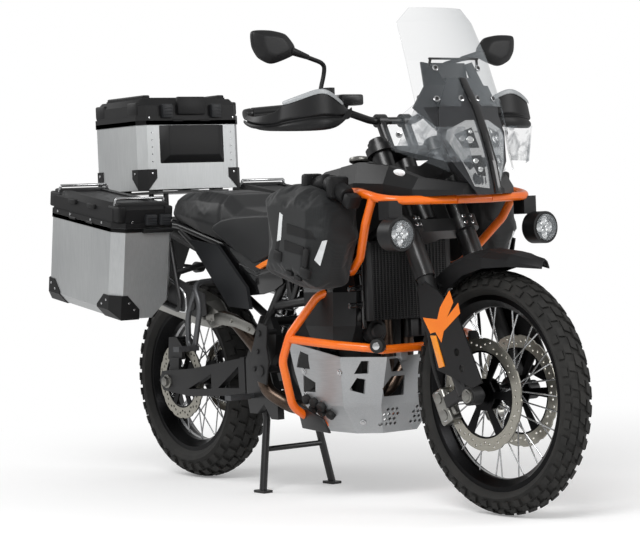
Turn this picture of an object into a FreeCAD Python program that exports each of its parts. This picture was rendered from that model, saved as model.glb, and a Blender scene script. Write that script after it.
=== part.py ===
import FreeCAD, Part
import math
import os

import Sketcher

# Adventure motorcycle with a soft side bag and a hard case each side and a top case.
# Millimetres. X runs forward, Y to the rider's left, Z up. The origin is on the ground,
# under the middle of the machine, which stands upright on its centre stand.

doc = FreeCAD.newDocument("adventure_motorcycle")
sheet = doc.addObject("Spreadsheet::Sheet", "Sizes")


# A size is a number that also carries the sheet formula it came from, so the same
# sum can set a dimension of an object and be used in a shape's own code.
class Size(float):
    def __new__(cls, value, text):
        made = float.__new__(cls, value)
        made.text = text
        return made

    def __add__(self, other):
        return Size(float(self) + float(other), f"({self.text} + {text_of(other)})")

    def __radd__(self, other):
        return Size(float(other) + float(self), f"({text_of(other)} + {self.text})")

    def __sub__(self, other):
        return Size(float(self) - float(other), f"({self.text} - {text_of(other)})")

    def __rsub__(self, other):
        return Size(float(other) - float(self), f"({text_of(other)} - {self.text})")

    def __mul__(self, other):
        return Size(float(self) * float(other), f"({self.text} * {text_of(other)})")

    def __rmul__(self, other):
        return Size(float(other) * float(self), f"({text_of(other)} * {self.text})")

    def __truediv__(self, other):
        return Size(float(self) / float(other), f"({self.text} / {text_of(other)})")

    def __neg__(self):
        return Size(-float(self), f"(0 - {self.text})")


def text_of(value):
    return value.text if isinstance(value, Size) else repr(float(value))


def sine(angle):
    return Size(math.sin(math.radians(angle)), f"sin({text_of(angle)} * 1 deg)")


def cosine(angle):
    return Size(math.cos(math.radians(angle)), f"cos({text_of(angle)} * 1 deg)")


class Sizes:
    pass


s = Sizes()
rows = []


# One row of the sheet for each driving dimension.
def write_sizes(**values):
    for name, value in values.items():
        rows.append(name)
        sheet.set(f"A{len(rows)}", name)
        sheet.set(f"B{len(rows)}", str(value))
        sheet.setAlias(f"B{len(rows)}", name)
        setattr(s, name, Size(value, f"Sizes.{name}"))


# The whole machine: wheel places, steering and the heights and reach that the rest follows.
write_sizes(
    wheelbase=1528, stack_height=1000, guard_reach=504,
    rake_angle=26.3, steering_trail=110.4, fit_gap=0.3, cut_overrun=10,
)

# Wheels.
write_sizes(
    front_tyre_radius=347, front_tyre_half_width=47, front_bead_radius=268, front_bead_half_width=27,
    rear_tyre_radius=333, rear_tyre_half_width=75, rear_bead_radius=232, rear_bead_half_width=50,
    rim_flange_height=11, rim_flange_thickness=4, rim_depth=24,
    spoke_radius=2.2, spoke_spread_angle=26, hub_barrel_radius=24, hub_flange_thickness=7,
    front_hub_flange_radius=44, front_hub_flange_place=34, front_hub_half_width=71,
    rear_hub_flange_radius=58, rear_hub_flange_place=40, rear_hub_half_width=92,
    axle_radius=12.5, axle_bore_radius=8, axle_clearance=1,
    front_disc_radius=160, front_disc_thickness=5, front_disc_place=67, disc_ring_width=34,
    rear_disc_radius=130, rear_disc_thickness=5, rear_disc_place=85, disc_hole_radius=4,
    disc_arm_width=14, disc_scallop_radius=26, disc_scallop_depth=3,
    sprocket_radius=104, sprocket_thickness=6, chain_place=98, chain_width=18, chain_height=16,
    front_sprocket_radius=38,
)

# Front fork, clamps, bar and what turns with them. Along is up the fork from the ground,
# ahead is square to it and forward.
write_sizes(
    fork_spacing=105, fork_offset=30, fork_outer_radius=30, fork_slider_radius=24,
    fork_outer_low=740, fork_outer_top=1182, fork_cap_radius=24, fork_cap_height=8,
    axle_lug_radius=27, axle_lug_half_width=19,
    lower_clamp_low=880, lower_clamp_thickness=40, upper_clamp_low=1142, upper_clamp_thickness=22,
    clamp_boss_wall=12, stem_radius=17, stem_clearance=3, bearing_clearance=0.1, bearing_width=16,
    head_tube_radius=32, head_tube_low=931, head_tube_top=1131,
    riser_radius=15, riser_spacing=46, bar_along=1267, bar_ahead=9,
    bar_radius=11, bar_clamp_radius=20, grip_radius=17, grip_length=125,
    control_block=34, lever_radius=5.5, reservoir_radius=19, reservoir_height=38,
    hand_guard_thickness=5, mirror_stem_radius=6, mirror_thickness=26, mirror_edge=5,
    fender_thickness=4, fender_crown=16, fender_lug_radius=8,
    fork_guard_thickness=5, fork_guard_place=131, guard_hole_radius=11,
    caliper_inner=49, caliper_outer=106, caliper_slot=17, caliper_length=100, caliper_depth=60, caliper_drop=22, caliper_wall=12,
)

front_rear_split = s.wheelbase + s.front_tyre_radius - s.rear_tyre_radius
rear_x = -(front_rear_split / 2)
front_x = rear_x + s.wheelbase
rear_z = s.rear_tyre_radius
front_z = s.front_tyre_radius
steer_x = front_x + s.steering_trail
rake_sine = sine(s.rake_angle)
rake_cosine = cosine(s.rake_angle)
# The front axle as the fork sees it.
axle_along = s.steering_trail * rake_sine + s.front_tyre_radius * rake_cosine
axle_ahead = s.front_tyre_radius * rake_sine - s.steering_trail * rake_cosine


# Places on the machine as shares of the wheelbase from the rear axle, of the widest
# reach to one side and of the stack height.
def along(share):
    return rear_x + s.wheelbase * share


def out(share):
    return s.guard_reach * share


def up(share):
    return s.stack_height * share


def place(x_share, y_share, z_share):
    return FreeCAD.Vector(along(x_share), out(y_share), up(z_share))


def places(shares):
    return [place(*share) for share in shares]


# A point given along and ahead of the steering axis, in the machine's own axes.
def fork_point(ahead, side, height):
    x = steer_x + ahead * rake_cosine - height * rake_sine
    z = ahead * rake_sine + height * rake_cosine
    return FreeCAD.Vector(x, side, z)


def flip(points):
    return [FreeCAD.Vector(p.x, -p.y, p.z) for p in points]


Y_AXIS = FreeCAD.Vector(0, 1, 0)
UP = FreeCAD.Vector(0, 0, 1)
finished = []


def bind(thing, **values):
    for path, value in values.items():
        thing.setExpression(path.replace("_of_", "."), text_of(value))


def locate(thing, x=0, y=0, z=0):
    for axis, value in zip("xyz", (x, y, z)):
        thing.setExpression(f"Placement.Base.{axis}", text_of(value))
    return thing


def turn(thing, axis, angle):
    thing.Placement = FreeCAD.Placement(FreeCAD.Vector(), FreeCAD.Rotation(FreeCAD.Vector(*axis), 1))
    thing.setExpression("Placement.Rotation.Angle", f"{text_of(angle)} * 1 deg")
    return thing


# Puts an object that was drawn in the fork's axes into the machine's.
def rake_back(thing):
    turn(thing, (0, -1, 0), s.rake_angle)
    return locate(thing, steer_x)


def box(name, corner, lengths):
    made = doc.addObject("Part::Box", name)
    bind(made, Length=lengths[0], Width=lengths[1], Height=lengths[2])
    return locate(made, *corner)


# A cylinder whose axis leaves its base centre along X, Y or Z.
def rod(name, radius, length, base, axis="y"):
    made = doc.addObject("Part::Cylinder", name)
    if axis == "y":
        made.Placement = FreeCAD.Placement(FreeCAD.Vector(), FreeCAD.Rotation(FreeCAD.Vector(1, 0, 0), -90))
    if axis == "x":
        made.Placement = FreeCAD.Placement(FreeCAD.Vector(), FreeCAD.Rotation(FreeCAD.Vector(0, 1, 0), 90))
    bind(made, Radius=radius, Height=length)
    return locate(made, *base)


def shape_feature(name, shape):
    made = doc.addObject("Part::Feature", name)
    made.Shape = shape
    return made


def fuse(name, parts):
    made = doc.addObject("Part::MultiFuse", name)
    made.Shapes = parts
    made.Refine = False
    return made


def cut(name, base, tool):
    made = doc.addObject("Part::Cut", name)
    made.Base = base
    made.Tool = tool
    made.Refine = False
    return made


def bundle(name, parts):
    made = doc.addObject("Part::Compound", name)
    made.Links = parts
    return made


def mirror(name, source):
    made = doc.addObject("Part::Mirroring", name)
    made.Source = source
    made.Normal = Y_AXIS
    return made


def pair(name, source):
    return bundle(name, [source, mirror(f"{name}_left", source)])


# Marks an object as a finished sub-part. Its label is its node and its file.
def node(thing, label):
    thing.Label = label
    finished.append(thing)
    return thing


# One body's origin plane by its role.
def plane_of(body, role):
    return next(each for each in body.Origin.OriginFeatures if each.Role == role)


# A closed outline of lines and three-point arcs, with every corner held by the sheet.
# A step is a corner (u, v), or (u, v, "through") for the middle of an arc.
def draw(body, name, role, steps, circles=()):
    sketch = body.newObject("Sketcher::SketchObject", name)
    sketch.AttachmentSupport = [(plane_of(body, role), "")]
    sketch.MapMode = "FlatFace"
    corners = [step for step in steps if len(step) == 2]

    def hold(kind, item, vertex, value):
        index = sketch.addConstraint(Sketcher.Constraint(kind, -1, 1, item, vertex, float(value)))
        sketch.setExpression(f"Constraints[{index}]", text_of(value))

    def hold_point(item, vertex, point):
        hold("DistanceX", item, vertex, point[0])
        hold("DistanceY", item, vertex, point[1])

    def flat(point):
        return FreeCAD.Vector(point[0], point[1], 0)

    segments = []
    for index, step in enumerate(steps):
        if len(step) == 3:
            continue
        after = steps[(index + 1) % len(steps)]
        through = after if len(after) == 3 else None
        goal = steps[(index + 2) % len(steps)] if through else after
        if through:
            curve = Part.Arc(flat(step), flat(through), flat(goal))
            item = sketch.addGeometry(curve, False)
            start = 1 if sketch.getPoint(item, 1).distanceToPoint(flat(step)) < s.fit_gap / 2 else 2
        else:
            item = sketch.addGeometry(Part.LineSegment(flat(step), flat(goal)), False)
            start = 1
        segments.append((item, start, through))
    for number, (item, start, through) in enumerate(segments):
        hold_point(item, start, corners[number])
        following, first, _ = segments[(number + 1) % len(segments)]
        sketch.addConstraint(Sketcher.Constraint("Coincident", item, 3 - start, following, first))
        if through:
            point = sketch.addGeometry(Part.Point(flat(through)), True)
            hold_point(point, 1, through)
            sketch.addConstraint(Sketcher.Constraint("PointOnObject", point, 1, item))
    for u, v, radius in circles:
        item = sketch.addGeometry(Part.Circle(flat((u, v)), UP, float(radius)), False)
        hold_point(item, 3, (u, v))
        index = sketch.addConstraint(Sketcher.Constraint("Radius", item, float(radius)))
        sketch.setExpression(f"Constraints[{index}]", text_of(radius))
    return sketch


# A solid turned about its own Y axis from an outline of (side, radius).
def turned(name, steps):
    body = doc.addObject("PartDesign::Body", name)
    sketch = draw(body, f"{name}_outline", "YZ_Plane", steps)
    revolution = body.newObject("PartDesign::Revolution", f"{name}_turn")
    revolution.Profile = sketch
    revolution.ReferenceAxis = (sketch, ["H_Axis"])
    revolution.Angle = 360
    return body


# A plate of an (x, z) outline. It reaches from the side given towards the right.
def plate(name, steps, thickness, side, circles=()):
    body = doc.addObject("PartDesign::Body", name)
    sketch = draw(body, f"{name}_outline", "XZ_Plane", steps, circles)
    pad = body.newObject("PartDesign::Pad", f"{name}_pad")
    pad.Profile = sketch
    bind(pad, Length=thickness)
    locate(body, 0, side, 0)
    return body


# Holes through a plate body, repeated round its own Y axis.
def pocket_round(body, name, steps, circles, count):
    sketch = draw(body, f"{name}_outline", "XZ_Plane", steps, circles)
    pocket = body.newObject("PartDesign::Pocket", name)
    pocket.Profile = sketch
    pocket.Type = "ThroughAll"
    pocket.Midplane = True
    if count > 1:
        doc.recompute()
        pattern = body.newObject("PartDesign::PolarPattern", f"{name}_pattern")
        pattern.Originals = [pocket]
        pattern.Axis = (plane_of(body, "Y_Axis"), [""])
        pattern.Angle = 360
        pattern.Occurrences = count
        body.Tip = pattern
    return body


def outline(shares):
    return [(along(x), up(z)) for x, z in shares]


# A round bar or tube along straight runs joined by tangent arcs.
def swept_tube(points, radius, bend):
    edges = []
    start = points[0]
    for before, corner, after in zip(points, points[1:], points[2:]):
        back = (before - corner).normalize()
        ahead = (after - corner).normalize()
        half_angle = back.getAngle(ahead) / 2
        room = min(before.distanceToPoint(corner), corner.distanceToPoint(after)) * bend_room_share
        reach = min(bend / math.tan(half_angle), room)
        arc_radius = reach * math.tan(half_angle)
        middle = (back + ahead).normalize() * (arc_radius / math.sin(half_angle) - arc_radius)
        edges.append(Part.LineSegment(start, corner + back * reach).toShape())
        edges.append(Part.Arc(corner + back * reach, corner + middle, corner + ahead * reach).toShape())
        start = corner + ahead * reach
    edges.append(Part.LineSegment(start, points[-1]).toShape())
    circle = Part.Circle(points[0], points[1] - points[0], float(radius)).toShape()
    return Part.Wire(edges).makePipeShell([Part.Wire(circle)], True, False)


bend_room_share = 0.48


def tube(name, points, radius, bend):
    return shape_feature(name, swept_tube(points, radius, bend))


# A straight round bar between two points.
def bar_shape(start, end, radius):
    return Part.makeCylinder(float(radius), start.distanceToPoint(end), start, end - start)


def polygon(points):
    return Part.makePolygon(list(points) + [points[0]])


def loft_shape(sections, ruled=True):
    return Part.makeLoft([polygon(section) for section in sections], True, ruled)


# A closed outline with its corners rounded to one radius.
def rounded(points, radius):
    count = len(points)
    edges = []
    ends = []
    for index, corner in enumerate(points):
        back = (points[index - 1] - corner).normalize()
        ahead = (points[(index + 1) % count] - corner).normalize()
        half_angle = back.getAngle(ahead) / 2
        reach = radius / math.tan(half_angle)
        middle = (back + ahead).normalize() * (radius / math.sin(half_angle) - radius)
        ends.append((corner + back * reach, corner + middle, corner + ahead * reach))
    for index, (first, middle, last) in enumerate(ends):
        edges.append(Part.Arc(first, middle, last).toShape())
        edges.append(Part.LineSegment(last, ends[(index + 1) % count][0]).toShape())
    return Part.Wire(edges)


def prism_shape(points, depth):
    return Part.Face(polygon(points)).extrude(depth)


# Wheels

spoke_count = 32


def tyre_outline(radius, half_width, bead_radius, bead_half_width):
    wall = (radius - bead_radius)
    heel = bead_radius + s.rim_flange_height
    return [
        (-bead_half_width, bead_radius + s.fit_gap), (-bead_half_width, heel),
        (-half_width, bead_radius + wall * tyre_bulge_share, "through"),
        (-half_width * tyre_shoulder_share, radius - wall * tyre_crown_share),
        (0.0, radius, "through"),
        (half_width * tyre_shoulder_share, radius - wall * tyre_crown_share),
        (half_width, bead_radius + wall * tyre_bulge_share, "through"),
        (bead_half_width, heel), (bead_half_width, bead_radius + s.fit_gap),
    ]


tyre_bulge_share = 0.52
tyre_shoulder_share = 0.88
tyre_crown_share = 0.2


def rim_outline(bead_radius, bead_half_width):
    edge = bead_half_width + s.rim_flange_thickness + s.fit_gap
    inner = bead_half_width + s.fit_gap
    top = bead_radius + s.rim_flange_height
    low = bead_radius - s.rim_depth
    return [
        (-edge, top), (-inner, top), (-inner, bead_radius), (inner, bead_radius), (inner, top), (edge, top),
        (edge, bead_radius - s.rim_flange_thickness),
        (bead_half_width * rim_well_share, low), (0.0, low - s.spoke_radius, "through"),
        (-bead_half_width * rim_well_share, low), (-edge, bead_radius - s.rim_flange_thickness),
    ]


rim_well_share = 0.45


def hub_outline(flange_radius, flange_place, right_reach, left_reach, bore):
    thick = s.hub_flange_thickness
    seat = s.hub_barrel_radius + thick
    flange = [(flange_place + thick, seat), (flange_place + thick, flange_radius), (flange_place, flange_radius),
              (flange_place - thick, s.hub_barrel_radius)]
    right = [(-side, radius) for side, radius in [(right_reach, bore), (right_reach, seat)] + flange]
    left = [(left_reach, bore), (left_reach, seat)] + flange
    return right + left[::-1]


# Rim, hub and crossed spokes laced into one wheel about its own axle.
def laced_wheel(name, x, z, bead_radius, bead_half_width, flange_radius, flange_place, right_reach, left_reach):
    bore = s.axle_radius + s.axle_clearance
    rim = turned(f"{name}_rim", rim_outline(bead_radius, bead_half_width))
    hub = turned(f"{name}_hub", hub_outline(flange_radius, flange_place, right_reach, left_reach, bore))
    spokes = []
    reach = bead_radius - s.rim_depth + s.spoke_radius * 2
    foot = flange_radius - s.hub_flange_thickness
    for index in range(spoke_count):
        angle = math.radians(index * 360 / spoke_count)
        lean = math.radians(s.spoke_spread_angle) * (1 if index % 4 < 2 else -1)
        side = (flange_place + s.hub_flange_thickness / 2) * (1 if index % 2 else -1)
        side = side + s.spoke_radius * (1 if index % 4 < 2 else -1)
        low = FreeCAD.Vector(foot * math.cos(angle + lean), side, foot * math.sin(angle + lean))
        high = FreeCAD.Vector(reach * math.cos(angle), side * spoke_top_share, reach * math.sin(angle))
        spokes.append(bar_shape(low, high, s.spoke_radius))
    lacing = shape_feature(f"{name}_spokes", Part.makeCompound(spokes))
    wheel = fuse(f"{name}_laced", [rim, hub] + [lacing])
    locate(wheel, x, 0, z)
    return wheel


spoke_top_share = 0.25


def make_wheels():
    front = turned("front_tyre", tyre_outline(
        s.front_tyre_radius, s.front_tyre_half_width, s.front_bead_radius, s.front_bead_half_width))
    node(locate(front, front_x, 0, front_z), "front_tyre")
    rear = turned("rear_tyre", tyre_outline(
        s.rear_tyre_radius, s.rear_tyre_half_width, s.rear_bead_radius, s.rear_bead_half_width))
    node(locate(rear, rear_x, 0, rear_z), "rear_tyre")
    node(laced_wheel("front_wheel", front_x, front_z, s.front_bead_radius, s.front_bead_half_width,
                     s.front_hub_flange_radius, s.front_hub_flange_place, s.front_hub_half_width,
                     s.front_hub_half_width),
         "front_spoked_rim")
    node(laced_wheel("rear_wheel", rear_x, rear_z, s.rear_bead_radius, s.rear_bead_half_width,
                     s.rear_hub_flange_radius, s.rear_hub_flange_place, s.rear_hub_half_width,
                     s.chain_place + s.sprocket_thickness / 2),
         "rear_spoked_rim")


# A drilled brake disc with a scalloped edge and open arms, about its own Y axis.
def brake_disc(name, radius, thickness, hub_radius):
    zero = s.fit_gap * 0
    body = doc.addObject("PartDesign::Body", name)
    sketch = draw(body, f"{name}_outline", "XZ_Plane", [], [(zero, zero, radius), (zero, zero, hub_radius)])
    pad = body.newObject("PartDesign::Pad", f"{name}_pad")
    pad.Profile = sketch
    bind(pad, Length=thickness)
    doc.recompute()
    ring = radius - s.disc_ring_width
    low = hub_radius + s.disc_arm_width
    wide = ring - s.disc_arm_width / 2
    half = sine(window_half_angle)
    tall = cosine(window_half_angle)
    window = [(-(wide * half), wide * tall), (zero, wide, "through"), (wide * half, wide * tall),
              (low * half * window_taper_share, low)]
    window.append((-(low * half * window_taper_share), low))
    pocket_round(body, f"{name}_windows", window, [], disc_window_count)
    doc.recompute()
    scallop = radius + s.disc_scallop_radius - s.disc_scallop_depth
    pocket_round(body, f"{name}_scallops", [], [(zero, scallop, s.disc_scallop_radius)], disc_scallop_count)
    doc.recompute()
    holes = []
    for number, hole_share in enumerate(disc_hole_shares):
        angle = hole_step_angle * number
        distance = ring + s.disc_ring_width * hole_share
        holes.append((distance * sine(angle), distance * cosine(angle), s.disc_hole_radius))
    pocket_round(body, f"{name}_holes", [], holes, disc_scallop_count)
    return body


window_half_angle = 23
window_taper_share = 0.9
disc_window_count = 6
disc_scallop_count = 12
hole_step_angle = 7.5
disc_hole_shares = [0.25, 0.5, 0.72, 0.4]


def make_discs_and_sprocket():
    hub_fit = s.hub_barrel_radius + s.hub_flange_thickness
    right = brake_disc("front_disc_right", s.front_disc_radius, s.front_disc_thickness, hub_fit)
    locate(right, front_x, -s.front_disc_place + s.front_disc_thickness / 2, front_z)
    node(pair("front_discs_pair", right), "front_brake_discs")
    rear = brake_disc("rear_disc", s.rear_disc_radius, s.rear_disc_thickness, hub_fit)
    locate(rear, rear_x, -s.rear_disc_place + s.rear_disc_thickness / 2, rear_z)
    sprocket = brake_disc("sprocket", s.sprocket_radius, s.sprocket_thickness, hub_fit)
    locate(sprocket, rear_x, s.chain_place + s.sprocket_thickness / 2, rear_z)
    node(bundle("disc_and_sprocket", [rear, sprocket]), "rear_disc_and_sprocket")
def joined(name, parts):
    return shape_feature(name, parts[0].multiFuse(parts[1:]))


# Notches a shape to the finished sub-parts that it is fitted round.
def clear_of(shape, labels):
    doc.recompute()
    for thing in finished:
        if thing.Label not in labels:
            continue
        for solid in thing.Shape.Solids:
            if solid.BoundBox.intersect(shape.BoundBox):
                shape = shape.cut(solid)
    return shape


def both_sides(parts):
    return parts + [part.mirror(FreeCAD.Vector(), Y_AXIS) for part in parts]


# Front end

def fork_place(ahead, height):
    x = steer_x + ahead * rake_cosine - height * rake_sine
    z = ahead * rake_sine + height * rake_cosine
    return x, z


def fork_rod(name, radius, length, ahead, side, low):
    made = doc.addObject("Part::Cylinder", name)
    turn(made, (0, -1, 0), s.rake_angle)
    bind(made, Radius=radius, Height=length)
    x, z = fork_place(ahead, low)
    return locate(made, x, side, z)


def fork_box(name, ahead, side, low, lengths):
    made = doc.addObject("Part::Box", name)
    turn(made, (0, -1, 0), s.rake_angle)
    bind(made, Length=lengths[0], Width=lengths[1], Height=lengths[2])
    x, z = fork_place(ahead, low)
    return locate(made, x, side, z)


def make_fork():
    side = -s.fork_spacing
    length = s.fork_outer_top - s.fork_outer_low
    outer = fork_rod("fork_outer", s.fork_outer_radius, length, s.fork_offset, side, s.fork_outer_low)
    cap = fork_rod("fork_cap", s.fork_cap_radius, s.fork_cap_height, s.fork_offset, side, s.fork_outer_top)
    node(pair("fork_tube_pair", fuse("fork_tube_right", [outer, cap])), "fork_tubes")

    low = axle_along + s.axle_lug_radius / 2
    slider = fork_rod("fork_slider", s.fork_slider_radius, s.fork_outer_low - low, s.fork_offset, side, low)
    lug = rod("axle_lug", s.axle_lug_radius, s.axle_lug_half_width * 2,
              (front_x, side - s.axle_lug_half_width, front_z))
    web = fork_box("lug_web", s.fork_offset - s.fork_slider_radius * lug_web_share, side - s.axle_lug_half_width,
                   axle_along, (axle_ahead - s.fork_offset + s.fork_slider_radius * lug_web_share,
                                s.axle_lug_half_width * 2, s.axle_lug_radius * 2))
    arm_start = axle_ahead - s.front_disc_radius - s.caliper_wall + s.caliper_depth
    arm = fork_box("caliper_arm", arm_start, side - s.axle_lug_half_width / 2,
                   axle_along + s.caliper_length * caliper_arm_share,
                   (s.fork_offset - s.fork_slider_radius / 2 - arm_start, s.axle_lug_half_width,
                    s.caliper_length / 3))
    right = fuse("slider_right", [slider, lug, web, arm])
    axle = rod("axle_bar", s.axle_radius, s.fork_spacing * 2, (front_x, -s.fork_spacing, front_z))
    joined = fuse("sliders_and_axle", [right, mirror("slider_left", right), axle])
    reach = s.fork_spacing + s.axle_lug_half_width + s.cut_overrun
    bore = rod("axle_bore", s.axle_bore_radius, reach * 2, (front_x, -reach, front_z))
    node(cut("fork_sliders_bored", joined, bore), "fork_sliders")


lug_web_share = 0.6
caliper_arm_share = 0.12


def clamp_plate(name, low, thickness):
    boss = s.fork_outer_radius + s.clamp_boss_wall
    post = fork_rod(f"{name}_boss", boss, thickness, s.fork_offset, -s.fork_spacing, low)
    centre = fork_rod(f"{name}_centre", boss, thickness, 0, 0, low)
    bridge = fork_box(f"{name}_bridge", -(s.clamp_boss_wall), -s.fork_spacing, low,
                      (s.fork_offset + s.clamp_boss_wall * 2, s.fork_spacing * 2, thickness))
    solid = fuse(f"{name}_solid", [post, mirror(f"{name}_boss_left", post), centre, bridge])
    hole = fork_rod(f"{name}_hole", s.fork_outer_radius + s.fit_gap, thickness + s.cut_overrun * 2,
                    s.fork_offset, -s.fork_spacing, low - s.cut_overrun)
    return cut(name, solid, bundle(f"{name}_holes", [hole, mirror(f"{name}_hole_left", hole)]))


def make_clamps():
    lower = clamp_plate("lower_clamp", s.lower_clamp_low, s.lower_clamp_thickness)
    upper = clamp_plate("upper_clamp", s.upper_clamp_low, s.upper_clamp_thickness)
    stem_length = s.upper_clamp_low + s.upper_clamp_thickness / 2 - s.lower_clamp_low
    stem = fork_rod("stem", s.stem_radius, stem_length, 0, 0, s.lower_clamp_low)
    riser_low = s.upper_clamp_low + s.upper_clamp_thickness / 2
    riser = fork_rod("riser", s.riser_radius, s.bar_along - s.bar_clamp_radius / 2 - riser_low,
                     s.bar_ahead, -s.riser_spacing, riser_low)
    x, z = fork_place(s.bar_ahead, s.bar_along)
    grip = rod("bar_clamp", s.bar_clamp_radius, s.riser_radius * 2,
               (x, -s.riser_spacing - s.riser_radius, z))
    holder = fuse("riser_right", [riser, grip])
    race = s.stem_radius + s.stem_clearance - s.bearing_clearance
    races = [fork_rod("lower_race", race, s.bearing_width, 0, 0, s.head_tube_low),
             fork_rod("upper_race", race, s.bearing_width, 0, 0, s.head_tube_top - s.bearing_width)]
    holders = fuse("clamps_joined", [lower, upper, stem, holder, mirror("riser_left", holder)] + races)
    reach = s.riser_spacing + s.riser_radius + s.cut_overrun
    groove = rod("bar_groove", s.bar_radius + s.fit_gap, reach * 2, (x, -reach, z))
    node(cut("clamps_grooved", holders, groove), "triple_clamps")


bar_shares = [(0.687, -0.407, 1.186), (0.645, -0.869, 1.17)]
lever_shares = [
    (0.699, -0.496, 1.178), (0.72, -0.595, 1.168), (0.713, -0.714, 1.16), (0.696, -0.849, 1.15),
]
control_shares = [(0.686, -0.46, 1.183)]
reservoir_shares = [(0.703, -0.448, 1.2)]


def make_handlebar():
    x, z = fork_place(s.bar_ahead, s.bar_along)
    flat_end = (s.riser_spacing + s.riser_radius) * bar_flat_share
    right = places(bar_shares)
    left = flip(right)
    middle = [FreeCAD.Vector(x, -flat_end, z), FreeCAD.Vector(x, flat_end, z)]
    line = [right[1], right[0]] + middle + [left[0], left[1]]
    bend = s.bar_radius * bar_bend_share
    parts = [swept_tube(line, s.bar_radius, bend)]
    direction = (right[1] - right[0]).normalize()
    grip_start = right[1] - direction * s.grip_length
    grip = Part.makeCylinder(s.grip_radius, float(s.grip_length), grip_start, direction)
    half = s.control_block / 2
    control = places(control_shares)[0]
    block = Part.makeBox(float(half * 2), float(half * 2), float(half * 2), control - FreeCAD.Vector(half, half, half))
    lever = swept_tube(places(lever_shares), s.lever_radius, s.lever_radius * lever_bend_share)
    cup = Part.makeCylinder(float(s.reservoir_radius), float(s.reservoir_height), places(reservoir_shares)[0], UP)
    perch = bar_shape(control, places(reservoir_shares)[0] + UP * s.lever_radius, s.lever_radius * 2)
    reach_bar = bar_shape(control, places(lever_shares)[0], s.lever_radius * 2)
    for item in (grip, block, lever, cup, perch, reach_bar):
        parts.append(item)
        parts.append(item.mirror(FreeCAD.Vector(), Y_AXIS))
    node(shape_feature("handlebar_set", parts[0].multiFuse(parts[1:])), "handlebar")


bar_flat_share = 1.3
bar_bend_share = 6
lever_bend_share = 12

hand_guard_shares = [
    (0.721, -0.532, 1.176), (0.783, -0.579, 1.17), (0.801, -0.754, 1.164), (0.762, -0.952, 1.146),
    (0.7, -0.994, 1.148), (0.644, -0.897, 1.166),
]
hand_guard_height_shares = [0.04, 0.085, 0.098, 0.082, 0.06, 0.034]


# Each guard is a strip that wraps from the controls round the grip to the bar's end.
def make_hand_guards():
    middle = places(hand_guard_shares)
    sections = []
    for index, point in enumerate(middle):
        before = middle[max(index - 1, 0)]
        after = middle[min(index + 1, len(middle) - 1)]
        run = FreeCAD.Vector(after.x - before.x, after.y - before.y, 0).normalize()
        normal = FreeCAD.Vector(run.y, -run.x, 0) * (s.hand_guard_thickness / 2)
        half = UP * (s.stack_height * hand_guard_height_shares[index] / 2)
        sections.append([point - normal - half, point + normal - half, point + normal + half,
                         point - normal + half])
    guard = loft_shape(sections)
    bar_end = places(bar_shares)[1]
    spine = bar_shape(bar_end - (bar_end - places(bar_shares)[0]).normalize() * s.bar_radius / 2, middle[-1], s.bar_radius)
    inner = bar_shape(places(control_shares)[0], middle[0], s.lever_radius)
    right = clear_of(guard.multiFuse([spine, inner]), ["handlebar"])
    node(pair("hand_guard_pair", shape_feature("hand_guard_right", right)), "hand_guards")


mirror_stem_shares = [
    (0.683, -0.476, 1.201), (0.683, -0.484, 1.236), (0.695, -0.595, 1.292), (0.713, -0.778, 1.345),
]
mirror_outline_shares = [
    (0.713, -0.69, 1.352), (0.713, -0.738, 1.318), (0.713, -0.877, 1.308), (0.713, -0.929, 1.352),
    (0.713, -0.933, 1.392), (0.713, -0.802, 1.392),
]


def make_mirrors():
    stem = swept_tube(places(mirror_stem_shares), s.mirror_stem_radius, s.mirror_stem_radius * mirror_bend_share)
    rim = places(mirror_outline_shares)
    centre = sum(rim[1:], rim[0]) * (1 / len(rim))
    back = FreeCAD.Vector(-s.mirror_thickness / 2, 0, 0)
    front_ring = [centre + (p - centre) * mirror_front_share - back for p in rim]
    rear_ring = [p + back for p in rim]
    head = loft_shape([rear_ring, rim, front_ring])
    node(pair("mirror_pair", shape_feature("mirror_right", head.fuse(stem))), "mirrors")


mirror_bend_share = 5
mirror_front_share = 0.72

# Each station of the fender: place along the wheelbase, crown height, half width and skirt depth.
fender_shares = [
    (1.132, 0.7, 0.032, 0.004), (1.071, 0.722, 0.115, 0.018), (1.014, 0.731, 0.147, 0.03),
    (0.958, 0.726, 0.143, 0.044), (0.911, 0.704, 0.139, 0.06), (0.874, 0.672, 0.135, 0.078),
    (0.843, 0.626, 0.131, 0.07),
]


def fender_section(x, z, half_width, skirt, inset):
    slope_drop = skirt
    wide = half_width - inset
    crown = z + s.fender_crown - inset
    base = z - slope_drop
    high = z - inset
    shelf = wide * fender_shelf_share
    points = [(-wide, base), (-wide, high), (-shelf, crown), (0, crown + s.fender_crown / 2), (shelf, crown),
              (wide, high), (wide, base)]
    return [FreeCAD.Vector(x, y, height) for y, height in points]


def make_fender():
    outer = []
    inner = []
    for x_share, z_share, width_share, skirt_share in fender_shares:
        numbers = along(x_share), up(z_share), out(width_share), up(skirt_share)
        outer.append(fender_section(*numbers, s.fit_gap * 0))
        inner.append(fender_section(*numbers, s.fender_thickness))
    for section in inner:
        for point in (section[0], section[-1]):
            point.z -= s.fender_thickness
    shell = loft_shape(outer).cut(loft_shape(inner))
    x, z = outline(fender_lug_shares)[0]
    start = FreeCAD.Vector(x, -(s.fork_spacing - s.fork_slider_radius - s.fit_gap), z)
    goal = FreeCAD.Vector(x, -s.fender_lug_radius * lug_reach_share, z)
    lugs = both_sides([bar_shape(start, goal, s.fender_lug_radius)])
    node(shape_feature("fender_shell", shell.multiFuse(lugs)), "front_fender")


fender_shelf_share = 0.62
fender_lug_shares = [(0.891, 0.65)]
lug_reach_share = 8.2

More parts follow.
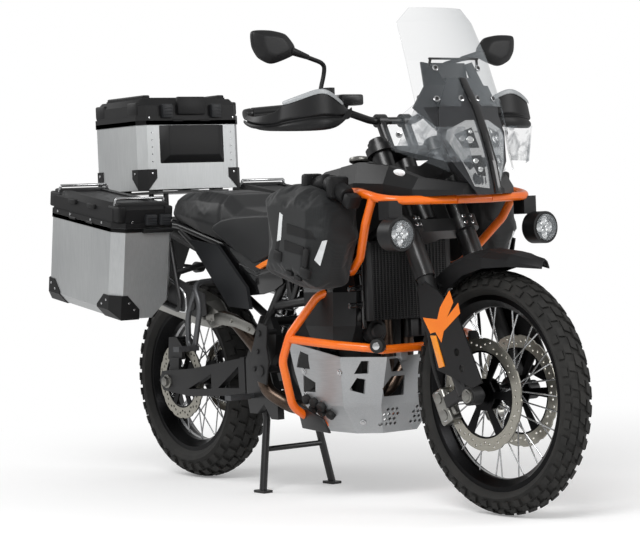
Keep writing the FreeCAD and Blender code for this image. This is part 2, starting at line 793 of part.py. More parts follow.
fork_guard_shares = [
    (0.88, 0.64), (0.898, 0.668), (0.936, 0.64), (0.988, 0.574), (1.049, 0.388), (1.021, 0.372),
    (0.982, 0.392), (0.924, 0.417), (0.911, 0.5), (0.88, 0.566),
]
guard_hole_shares = [(0.982, 0.47), (0.995, 0.425)]


def make_fork_guards():
    holes = [(along(x), up(z), s.guard_hole_radius) for x, z in guard_hole_shares]
    right = plate("fork_guard_plate", outline(fork_guard_shares), s.fork_guard_thickness,
                  -s.fork_guard_place, holes)
    inner = s.fork_spacing + s.fork_slider_radius + s.fit_gap
    reach = s.fork_guard_place - inner
    x, z = fork_place(s.fork_offset, s.fork_outer_low - s.fork_outer_radius)
    boss = rod("guard_boss", s.fork_slider_radius / 2, reach + s.fork_guard_thickness / 2, (x, -s.fork_guard_place - s.fork_guard_thickness / 2, z))
    node(pair("fork_guard_pair", fuse("fork_guard_right", [right, boss])), "fork_guards")


def make_front_calipers():
    height = axle_along - s.caliper_drop
    ahead = axle_ahead - s.front_disc_radius - s.caliper_wall - s.fit_gap
    width = s.caliper_outer - s.caliper_inner
    block = fork_box("caliper_block", ahead, -s.caliper_outer, height,
                     (s.caliper_depth, width, s.caliper_length))
    slot = fork_box("caliper_slot", ahead + s.caliper_wall / 2,
                    -s.front_disc_place - s.caliper_slot / 2, height - s.cut_overrun,
                    (s.caliper_depth, s.caliper_slot, s.caliper_length + s.cut_overrun * 2))
    right = cut("caliper_right", block, slot)
    node(pair("caliper_pair", right), "front_calipers")



# Chassis

write_sizes(
    frame_tube_radius=14, frame_plate_thickness=24, frame_plate_place=118, pivot_barrel_radius=28,
    pivot_axle_radius=10, pivot_height=400, swingarm_thickness=26, swingarm_place=114,
    swingarm_beam_height=84, beam_depth=60, shock_body_radius=26, shock_spring_radius=38, spring_wire=6,
    engine_half_width=86, clutch_cover_radius=84, clutch_cover_reach=62, generator_cover_radius=72,
    generator_cover_reach=54, cylinder_half_width=96, cover_step=12,
    engine_bolt_radius=8, engine_boss_radius=14, skid_tab_width=24, pannier_hook_length=44, pannier_hook_height=34,
    header_radius=19, mid_pipe_radius=22, header_spacing=42, pipe_side=126, silencer_half_width=42,
    silencer_half_height=54, silencer_side=186, silencer_corner=16,
    radiator_half_width=158, radiator_thickness=34, fin_pitch=13, fin_depth=5, radiator_border=16,
    tank_cell_inner=142, seat_corner=30, panel_thickness=12, panel_place=164,
    upper_bar_radius=12.5, lower_bar_radius=12.5, bar_bend=70, lamp_radius=47, lamp_depth=52,
    lamp_rim=6, lamp_side=270, lamp_lens_depth=8, skid_thickness=4, rack_tube_radius=9,
    subframe_tube_radius=12, subframe_spacing=104, peg_length=96, peg_width=34, peg_thickness=16,
    screen_thickness=4, lens_thickness=6, dash_thickness=34,
    pannier_length=436, pannier_width=216, pannier_depth=232, pannier_lid_height=88, pannier_pitch=9,
    pannier_place=256, pannier_chamfer=34, case_wall=3, pannier_taper=72, pannier_bevel=30,
    case_gap=6, top_case_length=306, top_case_width=406, top_case_depth=230, top_case_lid_height=88,
    top_case_base=976, top_case_chamfer=26, rack_plate_thickness=8, lid_bevel=14,
    bag_inner=228, bag_depth=158, bag_edge=34, stand_tube_radius=12, stand_pivot_height=270,
    stand_foot_thickness=8, stand_foot_length=56, stand_foot_width=34, side_stand_length=236,
    side_stand_radius=11, side_stand_eye_radius=18, side_stand_pin_radius=7, side_stand_place=168,
)

stand_x_share = 0.327
pivot_x_share = 0.353
stand_x = along(stand_x_share)
pivot_x = along(pivot_x_share)

upper_rail_shares = [
    (0.751, -0.054, 0.985), (0.661, -0.234, 0.905), (0.458, -0.26, 0.69), (0.366, -0.258, 0.512),
]
lower_rail_shares = [
    (0.776, -0.054, 0.9), (0.695, -0.19, 0.78), (0.589, -0.264, 0.618), (0.419, -0.26, 0.592),
]
strut_shares = [
    (0.661, -0.234, 0.905), (0.589, -0.264, 0.618), (0.524, -0.252, 0.757), (0.471, -0.262, 0.6),
    (0.458, -0.26, 0.69),
]
frame_plate_shares = [
    (0.366, 0.56), (0.401, 0.556), (0.419, 0.5), (0.414, 0.44), (0.39, 0.4), (0.414, 0.3),
    (0.414, 0.236), (0.39, 0.236), (0.366, 0.282), (0.34, 0.25), (0.314, 0.25), (0.305, 0.306),
    (0.306, 0.42), (0.34, 0.5),
]
frame_cross_shares = [(0.383, 0.0, 0.54), (0.386, 0.0, 0.3)]
nose_stay_shares = [
    (0.757, 1.0), (0.809, 1.0), (0.932, 1.072), (0.932, 1.01), (0.818, 0.94), (0.777, 0.94),
]
nose_stay_half_width = 0.048


def make_frame():
    radius = s.frame_tube_radius
    bend = s.bar_bend
    parts = [swept_tube(places(upper_rail_shares), radius, bend), swept_tube(places(lower_rail_shares), radius, bend)]
    joints = places(strut_shares)
    parts += [bar_shape(a, b, radius * strut_share) for a, b in zip(joints, joints[1:])]
    tubes = both_sides(parts)
    low_side = places(lower_rail_shares)[2]
    tubes.append(bar_shape(low_side, flip([low_side])[0], s.engine_bolt_radius))
    for centre in places(frame_cross_shares):
        side = FreeCAD.Vector(0, s.frame_plate_place + s.frame_plate_thickness / 2, 0)
        tubes.append(bar_shape(centre - side, centre + side, radius))
    head = Part.makeCylinder(float(s.head_tube_radius), float(s.head_tube_top - s.head_tube_low),
                             fork_point(0, 0, s.head_tube_low), fork_point(0, 0, 1) - fork_point(0, 0, 0))
    stay_points = [FreeCAD.Vector(along(x), -out(nose_stay_half_width), up(z)) for x, z in nose_stay_shares]
    stay = prism_shape(stay_points, FreeCAD.Vector(0, out(nose_stay_half_width) * 2, 0))
    trellis = joined("frame_trellis", [head] + tubes + [stay])
    bore = fork_rod("head_bore", s.stem_radius + s.stem_clearance, s.head_tube_top - s.head_tube_low + s.cut_overrun * 2,
                    0, 0, s.head_tube_low - s.cut_overrun)
    right = plate("pivot_plate", outline(frame_plate_shares), s.frame_plate_thickness, -s.frame_plate_place)
    axle = rod("pivot_axle", s.pivot_axle_radius, s.frame_plate_place * 2, (pivot_x, -s.frame_plate_place, s.pivot_height))
    stand_axle = rod("stand_axle", s.pivot_axle_radius / 2 * stand_pin_share, s.frame_plate_place * 2,
                     (stand_x, -s.frame_plate_place, s.stand_pivot_height))
    boss = shape_feature("side_stand_boss", side_stand_pin())
    frame = fuse("frame_joined", [cut("frame_bored", trellis, bore), right, mirror("pivot_plate_left", right), axle,
                                  stand_axle, boss])
    node(frame, "main_frame")


strut_share = 0.72
stand_pin_share = 1.4

side_stand_pivot_shares = [(0.401, 0.333, 0.254)]
side_stand_axis = FreeCAD.Vector(0, -0.89, -0.456).normalize()


def side_stand_pin():
    pivot = places(side_stand_pivot_shares)[0]
    half = s.side_stand_radius + s.fit_gap
    inner = pivot + side_stand_axis * half
    lug = bar_shape(inner, inner + side_stand_axis * (s.side_stand_radius * 2), s.side_stand_pin_radius * 2)
    pin = bar_shape(pivot - side_stand_axis * half, inner, s.side_stand_pin_radius)
    return lug.fuse(pin)


subframe_upper_shares = [
    (0.466, -0.206, 0.712), (0.288, -0.206, 0.752), (0.034, -0.206, 0.852), (-0.089, -0.206, 0.872),
]
subframe_lower_shares = [(0.366, -0.206, 0.548), (0.196, -0.206, 0.69), (0.043, -0.206, 0.838)]
subframe_cross_shares = [
    (0.288, 0.0, 0.752), (0.157, 0.0, 0.804), (0.041, 0.0, 0.848), (-0.079, 0.0, 0.87),
]


def make_subframe():
    radius = s.subframe_tube_radius
    tubes = both_sides([swept_tube(places(subframe_upper_shares), radius, s.bar_bend),
                        swept_tube(places(subframe_lower_shares), radius, s.bar_bend)])
    for centre in places(subframe_cross_shares):
        side = FreeCAD.Vector(0, s.subframe_spacing, 0)
        tubes.append(bar_shape(centre - side, centre + side, radius * strut_share))
    node(joined("subframe_tubes", tubes), "subframe")


arm_shares = [
    (0.298, 0.304), (0.085, 0.288), (-0.02, 0.302), (-0.034, 0.333), (-0.024, 0.366), (0.098, 0.38),
    (0.298, 0.426),
]
arm_window_shares = [[(0.275, 0.326), (0.196, 0.322), (0.275, 0.396)], [(0.171, 0.316), (0.079, 0.312), (0.171, 0.366)]]
beam_shares = [
    (0.3, 0.34), (0.258, 0.34), (0.258, 0.424), (0.3, 0.424), (0.359, 0.424), (0.366, 0.376),
]


def make_swingarm():
    right = plate("arm_plate", outline(arm_shares), s.swingarm_thickness, -s.swingarm_place)
    for number, window in enumerate(arm_window_shares):
        pocket_round(right, f"arm_window_{number}", outline(window), [], 1)
    beam = plate("arm_beam", outline(beam_shares), s.swingarm_place * 2, s.swingarm_place)
    lugs_cut = box("beam_relief", (along(beam_relief_share), -s.swingarm_place - s.cut_overrun, up(0.3)),
                   (s.wheelbase * 0.1, s.swingarm_place * 2 + s.cut_overrun * 2, s.stack_height * 0.2))
    narrow = box("beam_core", (along(beam_relief_share), -s.swingarm_place + s.fit_gap * 6, up(0.3)),
                 (s.wheelbase * 0.1, (s.swingarm_place - s.fit_gap * 6) * 2, s.stack_height * 0.2))
    sides = cut("beam_sides", lugs_cut, narrow)
    trimmed = cut("beam_trimmed", beam, sides)
    barrel = rod("pivot_barrel", s.pivot_barrel_radius, (s.swingarm_place - 2) * 2,
                 (pivot_x, -s.swingarm_place + 2, s.pivot_height))
    arm = fuse("arm_joined", [right, mirror("arm_left", right), trimmed, barrel])
    reach = s.swingarm_place + s.cut_overrun
    hole = rod("pivot_hole", s.pivot_axle_radius + s.fit_gap, reach * 2, (pivot_x, -reach, s.pivot_height))
    wide = s.swingarm_place + s.swingarm_thickness + s.cut_overrun
    axle_hole = rod("arm_axle_hole", s.axle_radius + s.fit_gap, wide * 2, (rear_x, -wide, rear_z))
    node(cut("arm_bored", arm, bundle("arm_holes", [hole, axle_hole])), "swingarm")


beam_relief_share = 0.3
shock_shares = [(0.288, 0.0, 0.43), (0.366, 0.0, 0.706)]


def make_shock():
    low, top = places(shock_shares)
    span = top - low
    direction = FreeCAD.Vector(span).normalize()
    body = bar_shape(low, low + span * shock_body_share, s.shock_body_radius)
    rodded = bar_shape(low, top, s.shock_body_radius / 2)
    parts = [rodded]
    coils = int(shock_coils)
    for index in range(coils):
        centre = low + span * (spring_start_share + index * spring_span_share / coils)
        parts.append(Part.makeTorus(float(s.shock_spring_radius - s.spring_wire), float(s.spring_wire), centre, direction))
    parts.append(bar_shape(low + span * shock_core_low_share, low + span * shock_core_top_share,
                           s.shock_spring_radius - s.spring_wire))
    eye = FreeCAD.Vector(0, s.shock_body_radius, 0)
    parts.append(bar_shape(top - eye, top + eye, s.shock_body_radius * shock_eye_share))
    node(joined("shock_shape", parts), "rear_shock")


shock_body_share = 0.3
shock_coils = 7
shock_core_low_share = 0.1
shock_core_top_share = 0.86
shock_eye_share = 0.8
spring_start_share = 0.16
spring_span_share = 0.72

crankcase_shares = [
    (0.403, 0.5), (0.407, 0.33), (0.435, 0.262), (0.582, 0.252), (0.628, 0.296), (0.654, 0.4),
    (0.654, 0.5), (0.458, 0.548),
]
cylinder_shares = [
    (0.524, 0.48), (0.668, 0.47), (0.677, 0.64), (0.661, 0.712), (0.55, 0.712), (0.527, 0.62),
]
cover_centre_shares = [(0.531, 0.408), (0.609, 0.372), (0.424, 0.404)]


def make_engine():
    case = plate("crankcase", outline(crankcase_shares), s.engine_half_width * 2, s.engine_half_width)
    block = plate("cylinder_block", outline(cylinder_shares), s.cylinder_half_width * 2, s.cylinder_half_width)
    clutch, water, sprocket = outline(cover_centre_shares)
    right = -s.engine_half_width
    parts = [case, block]
    parts.append(rod("clutch_cover", s.clutch_cover_radius, s.clutch_cover_reach, (clutch[0], right - s.clutch_cover_reach, clutch[1])))
    parts.append(rod("clutch_step", s.clutch_cover_radius - s.cover_step, s.clutch_cover_reach + s.cover_step,
                     (clutch[0], right - s.clutch_cover_reach - s.cover_step, clutch[1])))
    parts.append(rod("pump_cover", s.clutch_cover_radius / 2, s.clutch_cover_reach / 2, (water[0], right - s.clutch_cover_reach / 2, water[1])))
    parts.append(rod("generator_cover", s.generator_cover_radius, s.generator_cover_reach, (clutch[0] + s.cover_step * 4, -right, clutch[1])))
    parts.append(rod("generator_step", s.generator_cover_radius - s.cover_step, s.generator_cover_reach + s.cover_step,
                     (clutch[0] + s.cover_step * 4, -right, clutch[1])))
    shaft = s.chain_place + s.chain_width / 2
    parts.append(rod("output_sprocket", s.front_sprocket_radius, shaft, (sprocket[0], -s.cover_step, sprocket[1])))
    mount = outline(engine_boss_shares)[0]
    parts.append(rod("rear_mount_boss", s.engine_boss_radius, s.frame_plate_place - s.engine_half_width,
                     (mount[0], -s.frame_plate_place, mount[1])))
    joined_case = fuse("engine_joined", parts)
    doc.recompute()
    node(shape_feature("engine_cleared", clear_of(joined_case.Shape, ["main_frame"])), "engine")


engine_boss_shares = [(0.411, 0.47)]


header_shares = [
    (0.675, -0.083, 0.6), (0.698, -0.083, 0.582), (0.7, -0.083, 0.42), (0.691, -0.127, 0.33),
    (0.654, -0.246, 0.288), (0.589, -0.254, 0.28),
]
second_header_shares = [
    (0.675, 0.083, 0.6), (0.698, 0.083, 0.582), (0.702, 0.06, 0.43), (0.696, -0.06, 0.345),
    (0.662, -0.222, 0.29), (0.609, -0.254, 0.281),
]
mid_pipe_shares = [
    (0.596, -0.254, 0.28), (0.452, -0.258, 0.28), (0.407, -0.345, 0.33), (0.381, -0.345, 0.46),
    (0.314, -0.357, 0.542), (0.276, -0.369, 0.556),
]


def make_headers():
    first = swept_tube(places(header_shares), s.header_radius, s.bar_bend)
    second = swept_tube(places(second_header_shares), s.header_radius, s.bar_bend)
    mid = swept_tube(places(mid_pipe_shares), s.mid_pipe_radius, s.bar_bend)
    pipes = first.multiFuse([second, mid])
    node(shape_feature("header_pipes", clear_of(pipes, ["engine"])), "exhaust_pipes")


# Silencer stations: place, side, height and size share.
silencer_shares = [
    (0.275, -0.373, 0.556, 0.46), (0.246, -0.377, 0.568, 0.86), (0.196, -0.381, 0.586, 1.0),
    (0.026, -0.385, 0.64, 1.0), (-0.01, -0.385, 0.652, 0.8),
]


def make_silencer():
    sections = []
    for x_share, y_share, z_share, size_share in silencer_shares:
        half = s.silencer_half_width * size_share
        tall = s.silencer_half_height * size_share
        centre = place(x_share, y_share, z_share)
        corners = [centre + FreeCAD.Vector(0, y, z) for y, z in
                   ((-half, -tall * 0.4), (-half * 0.4, -tall), (half, -tall), (half, tall * 0.7), (half * 0.6, tall), (-half, tall * 0.8))]
        sections.append(corners)
    can = loft_shape(sections)
    node(shape_feature("silencer_can", clear_of(can, ["exhaust_pipes"])), "silencer")


radiator_shares = [(0.717, 0.56), (0.738, 0.552), (0.741, 0.78), (0.72, 0.786)]


def make_radiator():
    core = plate("radiator_core", outline(radiator_shares), s.radiator_half_width * 2, s.radiator_half_width)
    node(core, "radiator")


# Tank stations: place, half width, low and top heights.
tank_shares = [
    (0.44, 0.183, 0.792, 0.918), (0.497, 0.274, 0.748, 0.974), (0.576, 0.333, 0.724, 1.018),
    (0.645, 0.341, 0.724, 1.026), (0.682, 0.31, 0.77, 1.01),
]
cell_shares = [
    (0.812, 0.576, 0.681, 0.317), (0.73, 0.569, 0.695, 0.353), (0.64, 0.568, 0.728, 0.44),
    (0.54, 0.576, 0.723, 0.448), (0.476, 0.589, 0.696, 0.409),
]


def tank_section(x_share, width_share, low_share, top_share):
    x = along(x_share)
    half = out(width_share)
    low = up(low_share)
    top = up(top_share)
    tall = top - low
    points = [(-half * 0.62, low), (-half, low + tall * 0.22), (-half * 0.94, low + tall * 0.62), (-half * 0.62, low + tall * 0.93),
              (0, top), (half * 0.62, low + tall * 0.93), (half * 0.94, low + tall * 0.62), (half, low + tall * 0.22),
              (half * 0.62, low)]
    return [FreeCAD.Vector(x, y, z) for y, z in points]


def cell_section(z_share, rear_share, front_share, side_share):
    z = up(z_share)
    rear = along(rear_share)
    front = along(front_share)
    side = -out(side_share)
    inner = -s.tank_cell_inner
    long = front - rear
    points = [(rear, inner), (rear + long * 0.15, side), (rear + long * 0.75, side), (front, (side + inner) / 2), (front - long * 0.04, inner)]
    return [FreeCAD.Vector(x, y, z) for x, y in points]


def make_tank(avoid):
    hull = loft_shape([tank_section(*station) for station in tank_shares])
    cell = loft_shape([cell_section(*station) for station in cell_shares])
    cells = both_sides([cell])
    solid = hull.multiFuse(cells)
    node(shape_feature("tank_cleared", clear_of(solid, avoid)), "fuel_tank")


# Seat stations: place, half width, low and top heights.
seat_shares = [
    (0.013, 0.222, 0.868, 0.934), (0.039, 0.254, 0.864, 0.954), (0.131, 0.294, 0.826, 0.956),
    (0.229, 0.298, 0.79, 0.94), (0.275, 0.302, 0.776, 0.896), (0.34, 0.298, 0.762, 0.88),
    (0.406, 0.254, 0.76, 0.89), (0.437, 0.183, 0.792, 0.912),
]


def seat_section(x_share, width_share, low_share, top_share):
    x = along(x_share)
    half = out(width_share)
    low = up(low_share)
    top = up(top_share)
    tall = top - low
    points = [(-half * 0.84, low), (-half, low + tall * 0.35), (-half * 0.9, low + tall * 0.82), (-half * 0.6, top),
              (half * 0.6, top), (half * 0.9, low + tall * 0.82), (half, low + tall * 0.35), (half * 0.84, low)]
    return [FreeCAD.Vector(x, y, z) for y, z in points]


def make_seat(avoid):
    hull = loft_shape([seat_section(*station) for station in seat_shares])
    node(shape_feature("seat_cleared", clear_of(hull, avoid)), "seat")


blade_shares = [
    (0.148, 0.806), (0.249, 0.786), (0.351, 0.65), (0.361, 0.582), (0.283, 0.59), (0.171, 0.762),
]
panel_post_shares = [(0.216, -0.206, 0.781), (0.312, -0.206, 0.594)]


def make_side_panels():
    blade = plate("blade_panel", outline(blade_shares), s.panel_thickness, -s.panel_place)
    posts = []
    for index, centre in enumerate(panel_post_shares):
        x, _, z = centre
        posts.append(rod(f"panel_post_{index}", s.subframe_tube_radius * strut_share,
                         s.panel_place - s.subframe_spacing - s.subframe_tube_radius - s.fit_gap,
                         (along(x), -s.panel_place, up(z))))
    right = fuse("side_panel_right", [blade] + posts)
    node(pair("side_panel_pair", right), "side_panels")


fairing_shares = [
    (0.687, 0.389, 0.9, 1.006), (0.759, 0.425, 0.918, 1.016), (0.851, 0.429, 0.916, 1.0),
    (0.916, 0.377, 0.908, 0.962), (0.973, 0.155, 0.91, 0.94),
]


# Each fairing wing runs from the tank's side to the nose, outside the turning fork.
def make_fairings(avoid):
    sections = []
    for x_share, side_share, low_share, top_share in fairing_shares:
        x = along(x_share)
        side = out(side_share)
        low = up(low_share)
        top = up(top_share)
        wide = s.panel_thickness * 2
        sections.append([FreeCAD.Vector(x, -side, low), FreeCAD.Vector(x, -side, low + (top - low) * 0.4),
                         FreeCAD.Vector(x, -side + wide, top), FreeCAD.Vector(x, -side + wide * 2, top),
                         FreeCAD.Vector(x, -side + wide * 2, low)])
    wing = shape_feature("fairing_right", clear_of(loft_shape(sections), avoid))
    node(pair("fairing_pair", wing), "side_fairings")


# Tail stations: place, half width, low and top heights.
tail_shares = [
    (0.157, 0.175, 0.742, 0.782), (0.065, 0.171, 0.764, 0.822), (-0.039, 0.155, 0.812, 0.872),
    (-0.098, 0.123, 0.838, 0.884),
]
plate_carrier_shares = [
    (-0.072, 0.842), (-0.096, 0.848), (-0.165, 0.66), (-0.191, 0.566), (-0.181, 0.56), (-0.154, 0.66),
]
carrier_half_width = 0.143


def make_tail(avoid):
    hull = loft_shape([seat_section(*station) for station in tail_shares])
    carrier_points = [FreeCAD.Vector(along(x), -out(carrier_half_width), up(z)) for x, z in plate_carrier_shares]
    carrier = prism_shape(carrier_points, FreeCAD.Vector(0, out(carrier_half_width) * 2, 0))
    node(shape_feature("tail_cleared", clear_of(hull.fuse(carrier), avoid)), "tail")


# Nose levels: height, front tip, side place, half width, rear place.
nose_shares = [
    (0.908, 1.013, 0.982, 0.067, 0.962), (1.0, 1.0, 0.965, 0.198, 0.919),
    (1.084, 0.98, 0.946, 0.242, 0.911), (1.15, 0.959, 0.937, 0.214, 0.901),
    (1.244, 0.921, 0.914, 0.087, 0.885),
]


def nose_level(z_share, tip_share, side_x_share, half_share, rear_share, grow=0):
    z = up(z_share)
    half = out(half_share)
    tip = along(tip_share) + grow
    side_x = along(side_x_share) + grow
    rear = along(rear_share)
    return [FreeCAD.Vector(rear, -half * 0.7, z), FreeCAD.Vector(side_x, -half, z), FreeCAD.Vector(tip, 0, z),
            FreeCAD.Vector(side_x, half, z), FreeCAD.Vector(rear, half * 0.7, z)]


def make_nose(avoid):
    core = loft_shape([nose_level(*level) for level in nose_shares])
    node(shape_feature("nose_cleared", clear_of(core, avoid)), "nose_fairing")
    skin = loft_shape([nose_level(*level, grow=s.lens_thickness) for level in nose_shares[:4]])
    lens = skin.cut(core)
    keep = []
    for side in (-1, 1):
        points = [FreeCAD.Vector(along(x), side * out(y), up(z)) for x, y, z in lens_shares]
        keep.append(prism_shape([FreeCAD.Vector(along(lens_shares[0][0]) - s.wheelbase, p.y, p.z) for p in points],
                                FreeCAD.Vector(s.wheelbase * 2, 0, 0)))
    panes = [lens.common(each) for each in keep]
    node(shape_feature("lens_panes", Part.makeCompound(panes)), "headlamp")


lens_shares = [
    (0.982, 0.032, 0.925), (0.982, 0.087, 0.932), (0.949, 0.21, 1.07), (0.949, 0.194, 1.092),
    (0.955, 0.079, 1.118), (0.955, 0.036, 1.118),
]

# Screen levels: height, centre place, edge place, half width.
screen_shares = [
    (1.452, 0.865, 0.853, 0.19), (1.41, 0.877, 0.851, 0.278), (1.296, 0.907, 0.884, 0.302),
    (1.16, 0.949, 0.914, 0.317),
]


def screen_line(level, back):
    z_share, centre_share, edge_share, half_share = level
    z = up(z_share)
    half = out(half_share)
    centre = FreeCAD.Vector(along(centre_share) - back, 0, z)
    edge = along(edge_share) - back
    return FreeCAD.Vector(edge, -half, z), centre, FreeCAD.Vector(edge, half, z)


def make_windscreen(avoid):
    wires = []
    for level in screen_shares:
        left, middle, right = screen_line(level, 0)
        low, inner, high = screen_line(level, s.screen_thickness)
        wires.append(Part.Wire([Part.Arc(left, middle, right).toShape(), Part.LineSegment(right, high).toShape(),
                                Part.Arc(high, inner, low).toShape(), Part.LineSegment(low, left).toShape()]))
    sheet_shape = Part.makeLoft(wires, True, True)
    wing_points = places(wing_shares)
    normal = (wing_points[1] - wing_points[0]).cross(wing_points[-1] - wing_points[0]).normalize()
    flat = [p - normal * (p - wing_points[0]).dot(normal) for p in wing_points]
    wing = prism_shape(flat, normal * s.screen_thickness)
    shield = sheet_shape.multiFuse(both_sides([wing]))
    node(shape_feature("screen_cleared", clear_of(shield, avoid)), "windscreen")


wing_shares = [
    (0.914, -0.298, 1.18), (0.87, -0.437, 1.104), (0.882, -0.425, 1.043), (0.962, -0.206, 0.972),
    (0.948, -0.246, 1.084),
]
dash_shares = [(0.898, 1.11), (0.911, 1.11), (0.885, 1.29), (0.861, 1.284)]
dash_half_width = 0.123


def make_dash(avoid):
    half = out(dash_half_width)
    corners = [FreeCAD.Vector(along(x), -half, up(z)) for x, z in dash_shares]
    board = prism_shape(corners, FreeCAD.Vector(0, half * 2, 0))
    node(shape_feature("dash_cleared", clear_of(board, avoid)), "dash")


upper_bar_shares = [
    (0.94, -0.125, 0.897), (0.906, -0.54, 0.901), (0.826, -0.524, 0.926), (0.771, -0.421, 0.93),
    (0.628, -0.421, 0.936), (0.609, -0.349, 0.93),
]
upper_brace_shares = [
    (0.863, -0.532, 0.914), (0.829, -0.512, 0.838), (0.77, -0.421, 0.74), (0.728, -0.397, 0.694),
    (0.657, -0.222, 0.722),
]
front_tie_shares = [(0.94, -0.125, 0.897), (0.94, 0.125, 0.897)]


def make_upper_bars():
    radius = s.upper_bar_radius
    right = [swept_tube(places(upper_bar_shares), radius, s.bar_bend),
             swept_tube(places(upper_brace_shares), radius, s.bar_bend)]
    ends = places(front_tie_shares)
    tubes = both_sides(right) + [bar_shape(ends[0], ends[1], radius)]
    node(shape_feature("upper_bar_tubes", clear_of(tubes[0].multiFuse(tubes[1:]), ["main_frame"])), "upper_crash_bars")


lower_bar_shares = [
    (0.661, -0.425, 0.64), (0.648, -0.468, 0.628), (0.611, -0.595, 0.518), (0.592, -0.615, 0.44),
    (0.576, -0.52, 0.3), (0.572, -0.377, 0.252), (0.571, -0.254, 0.24),
]
lower_branch_shares = [
    (0.607, -0.595, 0.506), (0.72, -0.508, 0.489), (0.774, -0.389, 0.478), (0.776, -0.298, 0.47),
]


def make_lower_bars():
    radius = s.lower_bar_radius
    right = [swept_tube(places(lower_bar_shares), radius, s.bar_bend),
             swept_tube(places(lower_branch_shares), radius, s.bar_bend)]
    ends = places(lower_branch_shares)[-1], flip(places(lower_branch_shares))[-1]
    node(joined("lower_bar_tubes", both_sides(right) + [bar_shape(ends[0], ends[1], radius)]), "lower_crash_bars")


lamp_centre_shares = [(0.911, 0.806)]


def make_lamps():
    x, z = outline(lamp_centre_shares)[0]
    shell = rod("lamp_shell", s.lamp_radius, s.lamp_depth, (x, -s.lamp_side, z), "x")
    face = rod("lamp_recess", s.lamp_radius - s.lamp_rim, s.lamp_lens_depth + s.cut_overrun,
               (x + s.lamp_depth - s.lamp_lens_depth, -s.lamp_side, z), "x")
    lens = rod("lamp_lens", s.lamp_radius - s.lamp_rim, s.lamp_lens_depth / 2,
               (x + s.lamp_depth - s.lamp_lens_depth, -s.lamp_side, z), "x")
    strap_low = z + s.lamp_radius - s.lamp_rim
    strap = box("lamp_strap", (along(strap_place_share), -s.lamp_side - s.lamp_rim, strap_low),
                (s.lamp_radius, s.lamp_radius, up(bar_height_share) - strap_low))
    whole = fuse("lamp_right", [cut("lamp_bowl", shell, face), lens, strap])
    doc.recompute()
    right = shape_feature("lamp_cleared", clear_of(whole.Shape, ["upper_crash_bars"]))
    node(pair("lamp_pair", right), "auxiliary_lamps")


strap_place_share = 0.885


bar_height_share = 0.9

# Bash plate levels: height, rear place, front place, half width.
skid_shares = [
    (0.212, 0.551, 0.695, 0.23), (0.3, 0.547, 0.725, 0.369), (0.446, 0.529, 0.764, 0.429),
]


def skid_section(z_share, rear_share, front_share, half_share, inset):
    z = up(z_share)
    rear = along(rear_share)
    front = along(front_share) - inset
    half = out(half_share) - inset
    corner = (front - rear) * 0.72 + rear
    nose = half * 0.56
    return [FreeCAD.Vector(rear, -half, z), FreeCAD.Vector(corner, -half, z), FreeCAD.Vector(front, -nose, z),
            FreeCAD.Vector(front, nose, z), FreeCAD.Vector(corner, half, z), FreeCAD.Vector(rear, half, z)]


def make_skid_plate(avoid):
    top_level = up(skid_shares[-1][0])
    front_edge = along(skid_shares[-1][2])
    outer = loft_shape([skid_section(*level, 0) for level in skid_shares])
    inner_levels = [skid_section(*level, s.skid_thickness) for level in skid_shares]
    for point in inner_levels[0]:
        point.z += s.skid_thickness
    for level in inner_levels:
        for point in (level[0], level[-1]):
            point.x -= s.cut_overrun
    lift = FreeCAD.Vector(0, 0, s.cut_overrun)
    top_ring = [point + lift for point in inner_levels[-1]]
    inner = loft_shape(inner_levels + [top_ring])
    tabs = []
    for side in (-1, 1):
        corner = FreeCAD.Vector(front_edge - s.skid_thickness, side * s.skid_tab_width * tab_spread_share - s.skid_tab_width / 2,
                                top_level - s.skid_tab_width / 2)
        tabs.append(Part.makeBox(float(s.skid_tab_width), float(s.skid_tab_width), float(s.skid_tab_width * 1.5), corner))
    tub = outer.cut(inner).multiFuse(tabs)
    node(shape_feature("skid_cleared", clear_of(tub, avoid)), "skid_plate")


tab_spread_share = 3
peg_shares = [(0.327, 0.306)]
rear_peg_shares = [(0.216, 0.452)]
brake_pedal_shares = [
    (0.347, -0.302, 0.3), (0.366, -0.389, 0.3), (0.458, -0.405, 0.318), (0.469, -0.46, 0.32),
]
hanger_shares = [
    (0.216, -0.231, 0.674), (0.219, -0.482, 0.668), (0.246, -0.484, 0.6), (0.216, -0.484, 0.456),
    (0.194, -0.484, 0.47), (0.196, -0.484, 0.56), (0.229, -0.484, 0.644),
]


def make_pegs():
    inner = s.frame_plate_place + s.frame_plate_thickness
    x, z = outline(peg_shares)[0]
    post = rod("peg_post", s.peg_thickness / 2, s.peg_length / 4, (x, -inner - s.peg_length / 4, z))
    peg = box("peg_block", (x - s.peg_width / 2, -inner - s.peg_length, z - s.peg_thickness / 2),
              (s.peg_width, s.peg_length * 0.8, s.peg_thickness))
    rx, rz = outline(rear_peg_shares)[0]
    route = places(hanger_shares)
    hanger = tube("hanger_loop", route, s.rack_tube_radius, s.bar_bend)
    rear_peg = box("rear_peg_block", (rx - s.peg_width / 2, -out(rear_peg_reach_share), rz),
                   (s.peg_width, s.peg_length * 0.8, s.peg_thickness))
    rider = pair("rider_pegs", fuse("rider_peg_right", [post, peg]))
    rear = pair("rear_pegs", fuse("rear_peg_right", [hanger, rear_peg]))
    node(rider, "rider_footpegs")
    node(rear, "passenger_footpegs")


rear_peg_reach_share = 0.623
side_loop_shares = [
    (0.14, -0.486, 0.8), (0.171, -0.486, 0.61), (0.165, -0.486, 0.58), (0.079, -0.486, 0.612),
    (-0.082, -0.486, 0.7), (-0.092, -0.486, 0.868), (0.02, -0.486, 0.844), (0.131, -0.486, 0.822),
]
rack_strut_shares = [(-0.039, -0.231, 0.866), (-0.039, -0.486, 0.856)]
rack_strut_low_shares = [(0.157, -0.231, 0.728), (0.157, -0.486, 0.7)]


